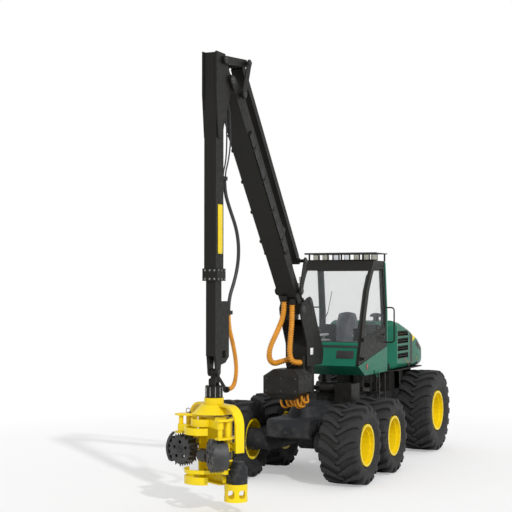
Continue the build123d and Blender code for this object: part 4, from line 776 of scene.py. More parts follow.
def padded_block(name, sections, body, low, high):
    """A crowned cushion: a block shaped by sections, swollen by a short cloth run and kept in a box."""
    bm = bmesh.new()
    bmesh.ops.create_cube(bm, size=2.0)
    bmesh.ops.subdivide_edges(bm, edges=bm.edges, cuts=11, use_grid_fill=True)
    for vert in bm.verts:
        vert.co = sections(vert.co.copy())
    bmesh.ops.recalc_face_normals(bm, faces=bm.faces)
    piece = link_mesh(name, bm)
    swell(piece)
    mesh = piece.data
    for vert in mesh.vertices:
        for axis in range(3):
            vert.co[axis] = min(max(vert.co[axis], low[axis]), high[axis])
    mesh.shade_smooth()
    mesh.materials.clear()
    mesh.materials.append(MATERIALS["trim_fabric"])
    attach(piece, body)
    return piece


SWELL_CAP = 0.012  # furthest that the cloth run moves a point
SWELL_FRAMES = 20


def swell(piece):
    """Remesh a block and blow it up with a short Cloth run; no point moves further than the cap."""
    bpy.context.view_layer.objects.active = piece
    remesh = piece.modifiers.new("remesh", "REMESH")
    remesh.mode = "VOXEL"
    remesh.voxel_size = 0.016
    settle(piece)
    start = [vert.co.copy() for vert in piece.data.vertices]
    cloth = piece.modifiers.new("cloth", "CLOTH")
    cloth.settings.use_pressure = True
    cloth.settings.uniform_pressure_force = 4.0
    cloth.settings.effector_weights.gravity = 0.0
    cloth.point_cache.frame_start = 1
    cloth.point_cache.frame_end = SWELL_FRAMES
    for step in range(1, SWELL_FRAMES + 1):
        bpy.context.scene.frame_set(step)
    settle(piece)
    for vert, home in zip(piece.data.vertices, start):
        move = vert.co - home
        if move.length > SWELL_CAP:
            vert.co = home + move.normalized() * SWELL_CAP
    bpy.context.scene.frame_set(1)


def settle(piece):
    """Take the modifiers' result as the piece's own mesh."""
    depsgraph = bpy.context.evaluated_depsgraph_get()
    mesh = bpy.data.meshes.new_from_object(piece.evaluated_get(depsgraph))
    old = piece.data
    piece.modifiers.clear()
    piece.data = mesh
    bpy.data.meshes.remove(old)


HEAD_HOSE_SCALE = 0.8  # ribs of the head's hose against those at the slewing body


# Settings a user would change
class HarvesterFinish(bpy.types.PropertyGroup):
    front_lugs: bpy.props.IntProperty(
        name="Lugs a side", description="Tread lugs on each side of a front tyre; a rear tyre has four more",
        default=17, min=8, max=40,
    )
    hose_pitch: bpy.props.FloatProperty(
        name="Hose rib spacing", description="Distance between the ribs of the orange sleeves",
        default=0.042, min=0.02, max=0.1, subtype="DISTANCE", unit="LENGTH",
    )
    hose_groove: bpy.props.FloatProperty(
        name="Hose groove depth", description="How deep the grooves of the orange sleeves are",
        default=0.012, min=0.0, max=0.02, subtype="DISTANCE", unit="LENGTH",
    )
    sun_strength: bpy.props.FloatProperty(
        name="Key light", description="Strength of the soft key light", default=1.7, min=0.0, max=10.0,
    )
    sky_strength: bpy.props.FloatProperty(
        name="Fill light", description="Strength of the even studio fill", default=0.78, min=0.0, max=5.0,
    )
    floor_colour: bpy.props.FloatVectorProperty(
        name="Floor", description="Colour of the studio floor", subtype="COLOR", size=3,
        default=(0.86, 0.86, 0.86), min=0.0, max=1.0,
    )


# Each node's own finish; a node not listed takes its slot's
NODE_FINISH = {"hood": "hood_paint"}


class HARVESTER_OT_finish_nodes(bpy.types.Operator):
    """Give every carried-over node its procedural finish"""

    bl_idname = "harvester.finish_nodes"
    bl_label = "Finish the nodes"

    def execute(self, context):
        make_materials()
        slots = {part["node"]: part["material_slot"] for part in frame["record"]["subparts"]}
        for node, piece in frame["nodes"].items():
            finish = NODE_FINISH.get(node, slots[node])
            if node.startswith("tyre_"):
                finish = node.replace("tyre_", "rubber_")
            for place in piece.material_slots:
                place.material = MATERIALS[finish]
        return {"FINISHED"}


class HARVESTER_OT_hoses(bpy.types.Operator):
    """Hang the four free hoses"""

    bl_idname = "harvester.hoses"
    bl_label = "Free hoses"

    def execute(self, context):
        sizes = context.scene.harvester_finish
        ribs = {"spacing": sizes.hose_pitch / 4, "depth": sizes.hose_groove}
        for name, route in (("slew_hose_right", RIGHT_HOSE), ("slew_hose_left", LEFT_HOSE)):
            joint_hose(
                name + "_sleeve", route, 0.050, name, ("crane_pillar", "main_boom"),
                ((0.0, -0.9, 2.15), (0.0, -0.9, 3.0)), "orange_hose", **ribs,
            )
        joint_hose(
            "stick_hose_run", STICK_HOSE, 0.028, "stick_hose", ("stick", "extension"),
            ((0.0, -3.3, 4.9), (0.0, -3.3, 3.2)), "black_hose",
        )
        joint_hose(
            "head_hose_sleeve", HEAD_HOSE, 0.036, "head_hose", ("extension", "wrist_link"),
            ((0.0, -3.2, 2.75), (0.0, -3.2, 1.9)), "orange_hose",
            **{key: value * HEAD_HOSE_SCALE for key, value in ribs.items()},
        )
        return {"FINISHED"}


# Camera as fitted to the photograph, 512 pixels square
CAMERA_PLACE = (8.198, -20.242, 3.359)  # x, aft, height
CAMERA_AZIMUTH = math.radians(24.585)
CAMERA_PITCH = math.radians(-1.538)
FOCAL_PIXELS = 1200.95
FRAME_PIXELS = 512
SENSOR = 36.0
SUN_DIRECTION = (-7.05, 6.4, -6.95)


class HARVESTER_OT_stage(bpy.types.Operator):
    """Set the floor, the soft studio light and the camera"""

    bl_idname = "harvester.stage"
    bl_label = "Stage"

    def execute(self, context):
        sizes = context.scene.harvester_finish
        scene = context.scene
        bm = bmesh.new()
        bmesh.ops.create_grid(bm, x_segments=8, y_segments=8, size=60.0)
        floor = link_mesh("studio_floor", bm)
        floor.data.materials.append(self.floor_material(sizes.floor_colour))

        world = bpy.data.worlds.new("studio")
        scene.world = world
        world.use_nodes = True
        tree, white = world.node_tree, (1.0, 1.0, 1.0)
        fill = tree.nodes["Background"]
        join(tree, white, fill.inputs["Color"])
        join(tree, sizes.sky_strength, fill.inputs["Strength"])
        seen = add_node(tree, "ShaderNodeBackground", {"Color": white})
        rays = add_node(tree, "ShaderNodeLightPath").outputs
        either = {0: rays["Is Camera Ray"], 1: rays["Is Transmission Ray"]}
        either = add_node(tree, "ShaderNodeMath", either, operation="MAXIMUM")
        choose = {0: either.outputs[0], 1: fill.outputs[0], 2: seen.outputs[0]}
        choose = add_node(tree, "ShaderNodeMixShader", choose)
        tree.links.new(choose.outputs[0], tree.nodes["World Output"].inputs["Surface"])

        light = bpy.data.lights.new("key_light", "SUN")
        light.energy = sizes.sun_strength
        light.angle = math.radians(2.5)
        key = bpy.data.objects.new("key_light", light)
        key.rotation_euler = Vector(SUN_DIRECTION).to_track_quat("-Z", "Y").to_euler()
        scene.collection.objects.link(key)

        camera_data = bpy.data.cameras.new("photo_camera")
        camera_data.sensor_width = SENSOR
        camera_data.lens = FOCAL_PIXELS / FRAME_PIXELS * SENSOR
        camera = bpy.data.objects.new("photo_camera", camera_data)
        camera.location = at(*CAMERA_PLACE)
        view = Vector((
            -math.sin(CAMERA_AZIMUTH) * math.cos(CAMERA_PITCH),
            math.cos(CAMERA_AZIMUTH) * math.cos(CAMERA_PITCH),
            -math.sin(CAMERA_PITCH),
        ))
        camera.rotation_euler = view.to_track_quat("-Z", "Y").to_euler()
        scene.collection.objects.link(camera)
        scene.camera = camera
        scene.view_settings.view_transform = "Standard"
        return {"FINISHED"}

    @staticmethod
    def floor_material(colour):
        """Pale floor that fades to plain white away from the machine and keeps a light grey shadow."""
        f = Finish("studio_floor", colour, 0.9, 0.0, 0.1)
        distance = f.node("ShaderNodeVectorMath", {0: f.place}, operation="LENGTH").outputs["Value"]
        fade = {"Value": distance, "From Min": 7.5, "From Max": 12.0, "To Min": 0.35}
        fade = f.node("ShaderNodeMapRange", fade, interpolation_type="SMOOTHSTEP").outputs["Result"]
        seen = f.node("ShaderNodeLightPath").outputs["Is Camera Ray"]
        glow = f.node("ShaderNodeEmission", {"Strength": 1.0}).outputs[0]
        blend = {0: f.math("MULTIPLY", fade, seen), 1: f.shader.outputs[0], 2: glow}
        blend = f.node("ShaderNodeMixShader", blend)
        f.tree.links.new(blend.outputs[0], f.tree.nodes["Material Output"].inputs["Surface"])
        return f.material


class HARVESTER_OT_tyres(bpy.types.Operator):
    """Fit the six lugged tyres"""

    bl_idname = "harvester.tyres"
    bl_label = "Tyres"

    def execute(self, context):
        sizes = context.scene.harvester_finish
        for label, side, aft, radius, middle, rim in WHEELS:
            lugs = sizes.front_lugs + (REAR_EXTRA_LUGS if label.startswith("rear") else 0)
            make_tyre(label, side, aft, radius, middle, rim, lugs)
            make_wheel_trim(label, side, aft, radius, middle, rim)
        return {"FINISHED"}


DESK_TOP = 2.352  # height of the consoles' tops


class HARVESTER_OT_driver_place(bpy.types.Operator):
    """Pad the driver's chair and fit the consoles"""

    bl_idname = "harvester.driver_place"
    bl_label = "Driver's place"

    def execute(self, context):
        def pan(co):
            x, y, z = co
            edge = max(abs(x), abs(y))
            top = 2.205 - 0.03 * edge ** 4 + 0.018 * abs(x) ** 3
            bottom = 2.118
            return at(0.228 * x * (1 - 0.04 * z), 1.638 + 0.212 * y, bottom + (top - bottom) * (z + 1) / 2)

        def back(co):
            x, y, z = co
            height = 2.135 + 0.385 * (z + 1)
            narrow = 1.0 - 0.30 * max(0.0, (height - 2.62) / 0.3) ** 2
            bolster = 0.03 * abs(x) ** 3
            rise = -0.03 * x * x * max(0.0, z)
            depth = 0.055 * (1 - 0.35 * max(abs(x), abs(z)) ** 4)
            middle = 1.968 + 0.05 * (height - 2.12)
            return at(0.222 * x * narrow, middle + depth * y - bolster * (1 - y) / 2, height + rise)

        front = ("front_frame", at(-0.245, 1.41, 2.11), at(0.245, 1.87, 2.23))
        rear = ("front_frame", at(-0.24, 1.83, 2.11), at(0.24, 2.1, 2.93))
        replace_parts(padded_block("chair_cushion", pan, *front), "driver_cushions")
        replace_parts(padded_block("chair_back", back, *rear), "driver_cushions")

        bm = bmesh.new()
        for side in (-1, 1):
            add_box(bm, at(side * 0.51 - 0.125, 1.17, 2.331), at(side * 0.51 + 0.125, 2.05, DESK_TOP), 0.008)
            add_box(bm, at(side * 0.36 - 0.05, 1.38, 2.43), at(side * 0.36 + 0.05, 1.80, 2.475), 0.018)
            add_rod(bm, at(side * 0.41, 1.70, 2.345), at(side * 0.36, 1.72, 2.435), 0.016)
        from_bmesh("console_tops", bm, "front_frame", "pale_plastic")
        bm = bmesh.new()
        for side in (-1, 1):
            add_rod(bm, at(side * 0.36, 1.41, 2.47), at(side * 0.36, 1.40, 2.53), 0.012)
            add_lathe(bm, [(0.0, 0.07), (0.018, 0.066), (0.027, 0.045), (0.024, 0.01), (0.0, 0.0)],
                      at(side * 0.36, 1.40, 2.525), (0, -0.1, 1), 16)
            for row in range(4):
                for column in range(3):
                    x, y = side * 0.50 - 0.05 + 0.05 * column, 1.25 + 0.07 * row
                    add_box(bm, at(x - 0.013, y, DESK_TOP), at(x + 0.013, y + 0.03, DESK_TOP + 0.010), 0.003)
        screen = [(1.20, DESK_TOP), (1.28, DESK_TOP), (1.30, 2.58), (1.275, 2.60), (1.25, 2.59)]
        add_side_prism(bm, screen, 0.40, 0.62, 0.008)
        add_box(bm, at(-0.06, 0.93, 2.06), at(0.06, 1.03, 2.345), 0.02)
        from_bmesh("controls", bm, "front_frame", "seal_rubber")
        return {"FINISHED"}


LAMP_CENTRES = (-0.50, -0.31, -0.085, 0.135, 0.335, 0.535, 0.69)
BRIGHT_LAMPS = (2, 3)


def add_lamp(bm, glass, centre, direction, size):
    """A rounded square work lamp: its housing into bm, its lens into glass."""
    turn = Matrix.Translation(centre) @ turn_to(direction)
    housing = turn @ Matrix.Diagonal((size, size, size * 0.8, 1.0))
    made = bmesh.ops.create_cube(bm, size=1.0, matrix=housing)
    back = sorted(made["verts"], key=lambda v: (v.co - centre).dot(Vector(direction)))[:4]
    for vert in back:
        vert.co = centre + (vert.co - centre) * 0.78
    round_edges(bm, made["verts"], size * 0.16, 3)
    lens = Matrix.Diagonal((size * 0.74, size * 0.74, size * 0.1, 1.0))
    front = turn @ Matrix.Translation((0, 0, size * 0.4)) @ lens
    made = bmesh.ops.create_cube(glass, size=1.0, matrix=front)
    round_edges(glass, made["verts"], size * 0.045)


class HARVESTER_OT_lamps(bpy.types.Operator):
    """Fit the roof visor, its row of work lamps and the lamps on the right-hand pillar"""

    bl_idname = "harvester.lamps"
    bl_label = "Work lamps"

    def execute(self, context):
        bm = bmesh.new()
        add_box(bm, at(-0.745, 1.60, 4.022), at(0.745, 2.25, 4.042), 0.006)
        add_box(bm, at(-0.745, 1.585, 4.014), at(0.745, 1.61, 4.049), 0.005)
        add_box(bm, at(-0.72, 1.70, 3.892), at(0.72, 1.73, 3.915), 0.004)
        for x in (-0.70, -0.2, 0.25, 0.70):
            add_box(bm, at(x - 0.012, 1.72, 3.892), at(x + 0.012, 1.76, 4.026), 0.003)
            add_box(bm, at(x - 0.012, 2.18, 3.888), at(x + 0.012, 2.22, 4.026), 0.003)
        lit, warm = bmesh.new(), bmesh.new()
        for index, x in enumerate(LAMP_CENTRES):
            centre = at(min(x, 0.675), 1.645, 3.958)
            aim = Vector((0.1 * (x - 0.1), -1.0, -0.06)).normalized()
            if index == len(LAMP_CENTRES) - 1:
                aim = Vector((0.5, -0.85, -0.06)).normalized()
            add_lamp(bm, lit if index in BRIGHT_LAMPS else warm, centre, aim, 0.128)
            add_rod(bm, centre + Vector((0, 0.02, -0.02)), centre + Vector((0, 0.06, -0.052)), 0.012, 8)
        piece = from_bmesh("roof_lamp_row", bm, "front_frame", "seal_rubber")
        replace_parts(piece, "roof_lamps")
        from_bmesh("roof_lenses_bright", lit, "front_frame", "lens_pale")
        from_bmesh("roof_lenses", warm, "front_frame", "lens_warm")

        bm, glass = bmesh.new(), bmesh.new()
        for z in (3.53, 3.41):
            centre = at(-0.62, front_aft(z) - 0.11, z)
            add_lamp(bm, glass, centre, Vector((0.05, -1, -0.05)).normalized(), 0.105)
            add_rod(bm, centre + Vector((0, 0.03, 0)), at(-0.68, front_aft(z) + 0.03, z), 0.012, 8)
        add_rod(bm, at(-0.66, 1.16, 3.36), at(-0.66, 1.23, 3.58), 0.014, 8)
        mirror = [at(-0.66, 1.16, 3.36), at(-0.67, 1.0, 3.1), at(-0.67, 0.92, 2.8), at(-0.68, 0.93, 2.6)]
        add_pipe(bm, spline_points(mirror), 0.009)
        from_bmesh("pillar_lamps", bm, "front_frame", "seal_rubber")
        from_bmesh("pillar_lenses", glass, "front_frame", "lens_warm")
        return {"FINISHED"}


class HARVESTER_OT_cab_trim(bpy.types.Operator):
    """Fit the cab's strips, seals, handles, reflector and the dark band under the windshield"""

    bl_idname = "harvester.cab_trim"
    bl_label = "Cab trim"

    def execute(self, context):
        bm = bmesh.new()
        for side in (-1, 1):
            outline = [(2.283, 2.31), (2.343, 2.31), (2.343, 2.9), (2.232, 3.86), (2.172, 3.86),
                       (2.283, 2.9)]
            add_side_prism(bm, outline, side * CAB_HALF, side * (CAB_HALF + 0.012), 0.003)
        lip = front_aft(2.30)
        outline = [(lip - 0.012, 2.292), (lip + 0.03, 2.292), (lip + 0.05, 2.352), (lip + 0.012, 2.352)]
        add_side_prism(bm, outline, -0.64, 0.64, 0.004)
        from_bmesh("cab_green_strips", bm, "front_frame", "green_paint")

        bm = bmesh.new()
        # height from and to, how far it stands out, x from and to, rounding
        for low, high, proud, x_from, x_to, edge in (
            (2.255, 2.288, 0.010, -0.66, 0.66, 0.003),
            (2.055, 2.20, 0.008, 0.24, 0.58, 0.006),
        ):
            lower, upper = front_aft(low), front_aft(high)
            outline = [(lower - proud, low), (lower + 0.02, low), (upper + 0.02, high), (upper - proud, high)]
            add_side_prism(bm, outline, x_from, x_to, edge)
        from_bmesh("cab_front_band", bm, "front_frame", "seal_rubber")

        bm = bmesh.new()
        span = [(y, z) for y, z in FRONT_LINE if 2.35 < z < 3.75]
        for x in (-0.655, 0.625):
            outline = [(y - 0.004, z) for y, z in span] + [(y + 0.028, z) for y, z in reversed(span)]
            add_side_prism(bm, outline, x, x + 0.03, 0.003)
        sill = [(0.875, 2.372), (2.30, 2.60), (2.296, 2.63), (0.871, 2.402)]
        post = [(2.23, 2.62), (2.25, 2.62), (2.25, 3.70), (2.23, 3.70)]
        for outline in (sill, post):
            add_side_prism(bm, outline, 0.684, 0.690)
        from_bmesh("window_seals", bm, "front_frame", "seal_rubber")

        bm = bmesh.new()
        add_box(bm, at(0.702, 1.12, 1.845), at(0.712, 1.175, 1.94), 0.004)
        from_bmesh("side_reflector", bm, "front_frame", "red_lens")

        bm = bmesh.new()
        add_box(bm, at(0.754, 1.86, 2.375), at(0.768, 2.02, 2.425), 0.006)
        add_rod(bm, at(0.775, 1.90, 2.40), at(0.775, 2.00, 2.40), 0.010, 10)
        for y in (1.91, 1.99):
            add_rod(bm, at(0.762, y, 2.40), at(0.778, y, 2.40), 0.007, 8)
        from_bmesh("door_handle", bm, "cab_door", "seal_rubber")

        bm = bmesh.new()
        add_rod(bm, at(-0.30, 0.97, 2.375), at(-0.05, 1.06, 2.90), 0.009, 10)
        add_rod(bm, at(-0.05, 1.06, 2.90), at(-0.02, 1.20, 3.30), 0.006, 10)
        add_rod(bm, at(-0.30, 0.90, 2.33), at(-0.30, 0.975, 2.38), 0.016, 12)
        from_bmesh("wiper", bm, "front_frame", "seal_rubber")

        bm = bmesh.new()
        bow = [at(0.705, 1.55, 1.80), at(0.725, 1.58, 1.72), at(0.725, 1.66, 1.66), at(0.725, 1.74, 1.69),
               at(0.725, 1.78, 1.76)]
        add_pipe(bm, spline_points(bow), 0.011)
        from_bmesh("door_hook", bm, "front_frame", "green_paint")
        return {"FINISHED"}


# Pins of the crane: aft, height and radius of the cap
PINS = [
    (-0.774, 2.987, 0.075),
    (-0.45, 3.12, 0.055),
    (-0.93, 3.31, 0.055),
    (-0.73, 3.84, 0.05),
    (-3.261, 6.392, 0.055),
    (-3.061, 6.922, 0.05),
    (-1.45, 4.345, 0.05),
    (-3.551, 6.575, 0.065),
    (-3.79, 6.86, 0.05),
    (-3.859, 2.085, 0.045),
]
CRANE_NODES = (
    "crane_pillar", "main_boom", "lower_lever", "upper_lever", "long_rod", "tip_link", "lift_barrel",
    "lift_rod", "stick", "extension", "wrist_link",
)
BOLT_LEVELS = (1.60, 1.81)  # heights of the valve box's bolt rows
VALVE_PORTS = (-0.13, -0.04, 0.05, 0.12, 0.18, 0.245)  # x of the hose loops under it


def nearest_node(start, direction):
    """The crane's node that a line meets first, and where."""
    met = [(node, first_hit(node, start, direction)) for node in CRANE_NODES]
    met = [((place - start).length, node, place) for node, place in met if place is not None]
    if not met:
        raise RuntimeError("no node at " + str(tuple(start)))
    return min(met, key=lambda row: row[:2])[1:]


class HARVESTER_OT_crane_fittings(bpy.types.Operator):
    """Fit the crane's pin caps, pipes, clamps, blank plates and thin hoses"""

    bl_idname = "harvester.crane_fittings"
    bl_label = "Crane fittings"

    def execute(self, context):
        caps = {}
        for aft, z, radius in PINS:
            for side in (-1, 1):
                body, seat = nearest_node(at(side * OUTSIDE, aft, z), (-side, 0, 0))
                if body not in caps:
                    caps[body] = bmesh.new()
                bm = caps[body]
                out = Vector((side, 0, 0))
                profile = [(0.0, 0.022), (radius * 0.62, 0.021), (radius * 0.68, 0.014),
                           (radius * 0.95, 0.012), (radius, 0.006), (radius, -0.004)]
                add_lathe(bm, profile, seat, out, 28)
                add_bolt_ring(bm, seat + out * 0.012, out, radius * 0.82, 4, 0.006, 0.4)
                add_rod(bm, seat + out * 0.02, seat + out * 0.034, 0.006, 8)
        for body, bm in caps.items():
            from_bmesh(body + "_pin_caps", bm, body, "tool_steel")

        along = (Vector(BOOM_TIP) - Vector(BOOM_PIVOT)).normalized()
        across = Vector((-along.y, along.x))
        pipes, clamps = bmesh.new(), bmesh.new()
        for side in (-1, 1):
            lift = Vector((side * 0.017, 0, 0))
            for offset in (-0.055, -0.02, 0.015):
                ends = [Vector(BOOM_PIVOT) + along * reach + across * offset for reach in (1.25, 3.55)]
                seats = [side_face("main_boom", side, *end) for end in ends]
                add_rod(pipes, seats[0] + lift, seats[1] + lift, 0.0125, 12)
                for seat, way in zip(seats, (-1, 1)):
                    run = (seats[1] - seats[0]).normalized() * way
                    add_rod(clamps, seat + lift, seat + lift + run * 0.035, 0.018, 6)
                    add_rod(clamps, seat + lift + run * 0.03, seat - lift + run * 0.03, 0.016, 12)
            u, v = (Vector((0, axis.x, axis.y)) for axis in (along * 0.025, across * 0.075))
            for reach in (1.5, 2.1, 2.7, 3.3):
                middle = Vector(BOOM_PIVOT) + along * reach + across * -0.02
                seat = side_face("main_boom", side, *middle)
                corners = [seat - u - v, seat + u - v, seat + u + v, seat - u + v]
                add_prism(clamps, corners, lift * 2, 0.005)
                add_bolt(clamps, seat + lift * 2, (side, 0, 0), 0.008)
        from_bmesh("boom_pipes", pipes, "main_boom", "tool_steel")
        from_bmesh("boom_pipe_clamps", clamps, "main_boom", "black_paint")

        bm = bmesh.new()
        face = side_face("stick", 1, -3.85, 4.2).x
        add_box(bm, at(face - 0.001, -3.93, 3.885), at(face + 0.004, -3.775, 4.635), 0.0015)
        from_bmesh("stick_blank_plate", bm, "stick", "yellow_paint")
        bm = bmesh.new()
        for z in (3.905, 4.26, 4.615):
            for y in (-3.915, -3.79):
                add_rod(bm, at(face + 0.004, y, z), at(face + 0.007, y, z), 0.006, 10)
        for z in (3.50, 3.63):
            for y in (-3.97, -3.86, -3.75):
                for side in (-1, 1):
                    add_bolt(bm, side_face("stick", side, y, z), (side, 0, 0), 0.011)
            for x in (-0.08, 0.0, 0.08):
                add_bolt(bm, surface("stick", at(x, -6, z), (0, 1, 0)), (0, -1, 0), 0.011)
        from_bmesh("stick_bolts", bm, "stick", "zinc")

        bm = bmesh.new()
        face = side_face("crane_pillar", 1, -0.40, 2.24).x
        add_box(bm, at(face - 0.001, -0.46, 2.18), at(face + 0.004, -0.33, 2.30), 0.002)
        from_bmesh("pillar_blank_plate", bm, "crane_pillar", "white_plate")
        bm = bmesh.new()
        for z in BOLT_LEVELS:
            for x in (-0.27, 0.0, 0.27):
                add_bolt(bm, surface("crane_pillar", at(x, -3, z), (0, 1, 0)), (0, -1, 0), 0.012)
            for y in (-1.2, -1.0, -0.8):
                for side in (-1, 1):
                    add_bolt(bm, side_face("crane_pillar", side, y, z), (side, 0, 0), 0.012)
        from_bmesh("valve_box_bolts", bm, "crane_pillar", "tool_steel")

        for index, x in enumerate(VALVE_PORTS):
            front, rear = -1.0 + 0.03 * (index % 2), -0.70
            tops = [surface("crane_pillar", at(x, y, 1.0), (0, 0, 1)).z + 0.012 for y in (front, rear)]
            low = min(tops) - 0.17 + 0.02 * (index % 3)
            route = [at(x, front, tops[0]), at(x, front, low + 0.07), at(x + 0.03, front + 0.07, low),
                     at(x + 0.05, rear - 0.07, low), at(x, rear, low + 0.07), at(x, rear, tops[1])]
            body_hose("valve_hose_%d" % index, route, 0.023, "crane_pillar", "orange_hose", 0.008, 0.006)

        for index, (x, bow) in enumerate(((0.085, -3.47), (0.045, -3.52))):
            # aft and height
            line = [(-3.742, 6.30), (-3.66, 6.30), (bow - 0.03, 6.18), (bow, 5.9), (bow + 0.01, 5.6),
                    (-3.55, 5.3), (-3.64, 5.15), (-3.64, 5.07)]
            route = [at(x, y, z) for y, z in line]
            body_hose("stick_thin_hose_%d" % index, route, 0.012, "stick", "black_hose")
        return {"FINISHED"}


# Feed rollers as the record's joints place them: front face, direction of the axis into the drum
ROLLERS = {
    "feed_roller_left": ((-0.538731, -4.143109, 0.89), (0.22495105, 0.97437006, 0.0)),
    "feed_roller_right": ((0.188731, -4.563109, 0.89), (0.7313537, 0.68199836, 0.0)),
}
ROLLER_RADIUS = 0.225
ROLLER_TEETH = 16
SPIKE_ROWS = (0.016, 0.07, 0.124, 0.178)
def out_from(axis, angle):
    """The direction straight out from a level axis, at an angle round it."""
    return Vector((axis.y, -axis.x, 0.0)) * math.cos(angle) + Vector((0, 0, math.sin(angle)))


class HARVESTER_OT_head_fittings(bpy.types.Operator):
    """Fit the harvester head's spikes, guards, eye, bolts and hoses"""

    bl_idname = "harvester.head_fittings"
    bl_label = "Head fittings"

    def execute(self, context):
        for node, (face, axis) in ROLLERS.items():
            face, axis = Vector(face), Vector(axis)
            bm = bmesh.new()
            for row in SPIKE_ROWS:
                foot = face + axis * row
                for index in range(ROLLER_TEETH):
                    out = out_from(axis, 2 * math.pi * index / ROLLER_TEETH)
                    root, tip = foot + out * (ROLLER_RADIUS - 0.006), foot + out * (ROLLER_RADIUS + 0.03)
                    add_rod(bm, root, tip, 0.017, 6, 0.006)
            add_bolt_ring(bm, face, -axis, 0.045, 6, 0.009)
            add_lathe(bm, [(0.0, 0.016), (0.022, 0.014), (0.03, 0.006), (0.03, -0.002)], face, -axis, 20)
            from_bmesh(node + "_spikes", bm, node, "tool_steel")

        bm = bmesh.new()
        face, axis = (Vector(part) for part in ROLLERS["feed_roller_left"])
        arc = [out_from(axis, math.radians(122 + 8 * step)) for step in range(13)]
        middle = face + axis * 0.03
        rim = [middle + out * 0.278 for out in arc] + [middle + out * 0.312 for out in reversed(arc)]
        add_prism(bm, rim, axis * 0.03)
        foot = [(-0.305, -0.03), (-0.305, 0.03), (-0.285, 0.03), (-0.285, -0.03)]
        foot = [face + axis * 0.06 + out_from(axis, 0.0) * reach + Vector((0, 0, z)) for reach, z in foot]
        add_prism(bm, foot, axis * 0.17)
        from_bmesh("roller_guard_left", bm, "feed_arm_left", "tool_steel")

        seat = surface("head_frame", head_point(-0.56, -0.11, 1.9), (0, 0, -1))
        ring = [seat + Vector((0.036 * math.cos(a), 0.0, 0.034 + 0.036 * math.sin(a)))
                for a in (2 * math.pi * step / 24 for step in range(25))]
        bm = bmesh.new()
        add_pipe(bm, ring, 0.007)
        add_rod(bm, seat, seat + Vector((0, 0, 0.012)), 0.018, 12)
        from_bmesh("lifting_eye", bm, "head_frame", "zinc")

        bm = bmesh.new()
        for x, y in ((0.60, 0.0), (0.52, -0.10), (0.40, 0.02)):
            for side in (-1, 1):
                seat = first_hit("head_frame", head_point(side * x, y, 1.9), (0, 0, -1))
                if seat is not None:
                    add_bolt(bm, seat, (0, 0, 1), 0.017)
        from_bmesh("head_bolts", bm, "head_frame", "tool_steel")

        bm = bmesh.new()
        up = Vector((0, 0, 1))
        middle = at(0.0, WRIST[0], 0.0)
        flange = [(0.09, 0.0), (0.134, 0.0), (0.137, 0.004), (0.134, 0.012), (0.09, 0.012), (0.09, 0.0)]
        for z in (1.704, 1.862):
            add_lathe(bm, flange, middle + up * z, up, 40)
        add_bolt_ring(bm, middle + up * 1.874, up, 0.116, 10, 0.010)
        from_bmesh("rotator_flanges", bm, "rotator", "black_paint")
        bm = bmesh.new()
        for index in range(10):
            angle = 2 * math.pi * (index + 0.5) / 10
            stud = middle + Vector((math.cos(angle), math.sin(angle), 0.0)) * 0.129
            add_rod(bm, stud + up * 1.714, stud + up * 1.864, 0.008, 10)
        from_bmesh("rotator_studs", bm, "rotator", "zinc")

        back = head_point(0, 1, 0) - head_point(0, 0, 0)
        for index, (shift, drop) in enumerate(((0.0, 0.0), (0.045, 0.03))):
            start = first_hit("head_frame", head_point(0.17, 0.8, 1.20 - shift), -back)
            if start is None:
                start = head_point(0.17, 0.24, 1.20 - shift)
            route = [start - back * 0.01, start + back * 0.08, head_point(0.27, 0.30 + shift, 1.15 - drop),
                     head_point(0.40, 0.27 + shift, 1.02 - drop), head_point(0.47 + shift, 0.15, 0.92),
                     head_point(0.45 + shift, 0.04, 0.86), head_point(0.44 + shift, 0.02, 0.765)]
            body_hose("saw_hose_%d" % index, route, 0.013, "head_frame", "black_hose", 0.015)
        return {"FINISHED"}


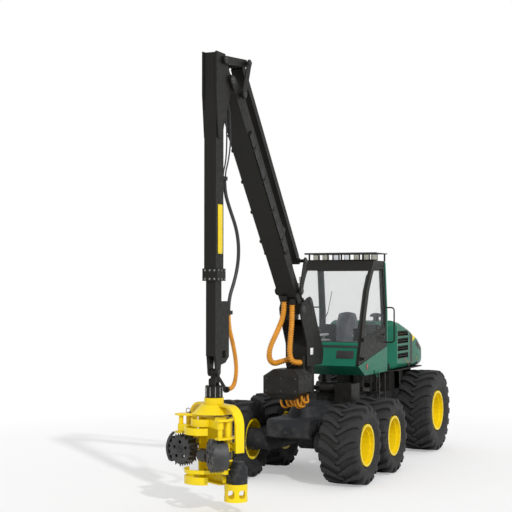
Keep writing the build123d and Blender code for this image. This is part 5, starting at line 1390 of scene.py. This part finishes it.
class HARVESTER_OT_hood_fittings(bpy.types.Operator):
    """Fit the air cleaner's cap, hood latches, tail lamps and side dots"""

    bl_idname = "harvester.hood_fittings"
    bl_label = "Hood fittings"

    def execute(self, context):
        bm = bmesh.new()
        seat = surface("hood", at(0.30, 2.85, 3.5), (0, 0, -1))
        profile = [(0.0, 0.155), (0.05, 0.152), (0.10, 0.135), (0.125, 0.105), (0.127, 0.085),
                   (0.118, 0.078), (0.062, 0.074), (0.055, 0.03), (0.07, 0.012), (0.07, -0.01)]
        add_lathe(bm, profile, seat, (0, 0, 1), 40)
        from_bmesh("air_cleaner_cap", bm, "hood", "seal_rubber")

        bm, lamps, red, amber = bmesh.new(), bmesh.new(), bmesh.new(), bmesh.new()
        for side in (-1, 1):
            for y in (2.80, 3.72, 4.30):
                place = side_face("hood", side, y, 1.80)
                half = Vector((0.01, 0.035, 0.05))
                add_box(bm, place - half, place + half, 0.006)
            for dots, y, z in ((red, 3.42, 1.90), (amber, 3.62, 1.84), (amber, 4.20, 1.90)):
                place = side_face("hood", side, y, z)
                add_rod(dots, place, place + Vector((side * 0.01, 0, 0)), 0.018, 16)
            tail = surface("hood", at(side * 0.54, 7.0, 1.93), (0, -1, 0))
            add_box(lamps, tail + Vector((-0.055, -0.02, -0.07)), tail + Vector((0.055, 0.028, 0.07)), 0.01)
            add_box(red, tail + Vector((-0.043, 0.024, -0.058)), tail + Vector((0.043, 0.034, 0.058)), 0.003)
        from_bmesh("hood_latches", bm, "hood", "seal_rubber")
        from_bmesh("tail_lamps", lamps, "hood", "seal_rubber")
        from_bmesh("hood_red_lenses", red, "hood", "red_lens")
        from_bmesh("hood_amber_dots", amber, "hood", "orange_hose")
        return {"FINISHED"}


class HARVESTER_PT_panel(bpy.types.Panel):
    bl_idname = "HARVESTER_PT_panel"
    bl_label = "Harvester"
    bl_space_type = "VIEW_3D"
    bl_region_type = "UI"
    bl_category = "Harvester"

    def draw(self, context):
        sizes = context.scene.harvester_finish
        for name in HarvesterFinish.__annotations__:
            self.layout.prop(sizes, name)
        for operator in OPERATORS:
            self.layout.operator(operator.bl_idname)


OPERATORS = (
    HARVESTER_OT_finish_nodes,
    HARVESTER_OT_stage,
    HARVESTER_OT_hoses,
    HARVESTER_OT_tyres,
    HARVESTER_OT_driver_place,
    HARVESTER_OT_lamps,
    HARVESTER_OT_cab_trim,
    HARVESTER_OT_crane_fittings,
    HARVESTER_OT_head_fittings,
    HARVESTER_OT_hood_fittings,
)
CLASSES = (HarvesterFinish, *OPERATORS, HARVESTER_PT_panel)


def register():
    for each in CLASSES:
        bpy.utils.register_class(each)
    bpy.types.Scene.harvester_finish = bpy.props.PointerProperty(type=HarvesterFinish)


def unregister():
    del bpy.types.Scene.harvester_finish
    for each in reversed(CLASSES):
        bpy.utils.unregister_class(each)


def main():
    register()
    for operator in OPERATORS:
        group, action = operator.bl_idname.split(".")
        getattr(getattr(bpy.ops, group), action)()


if __name__ == "__main__":
    main()
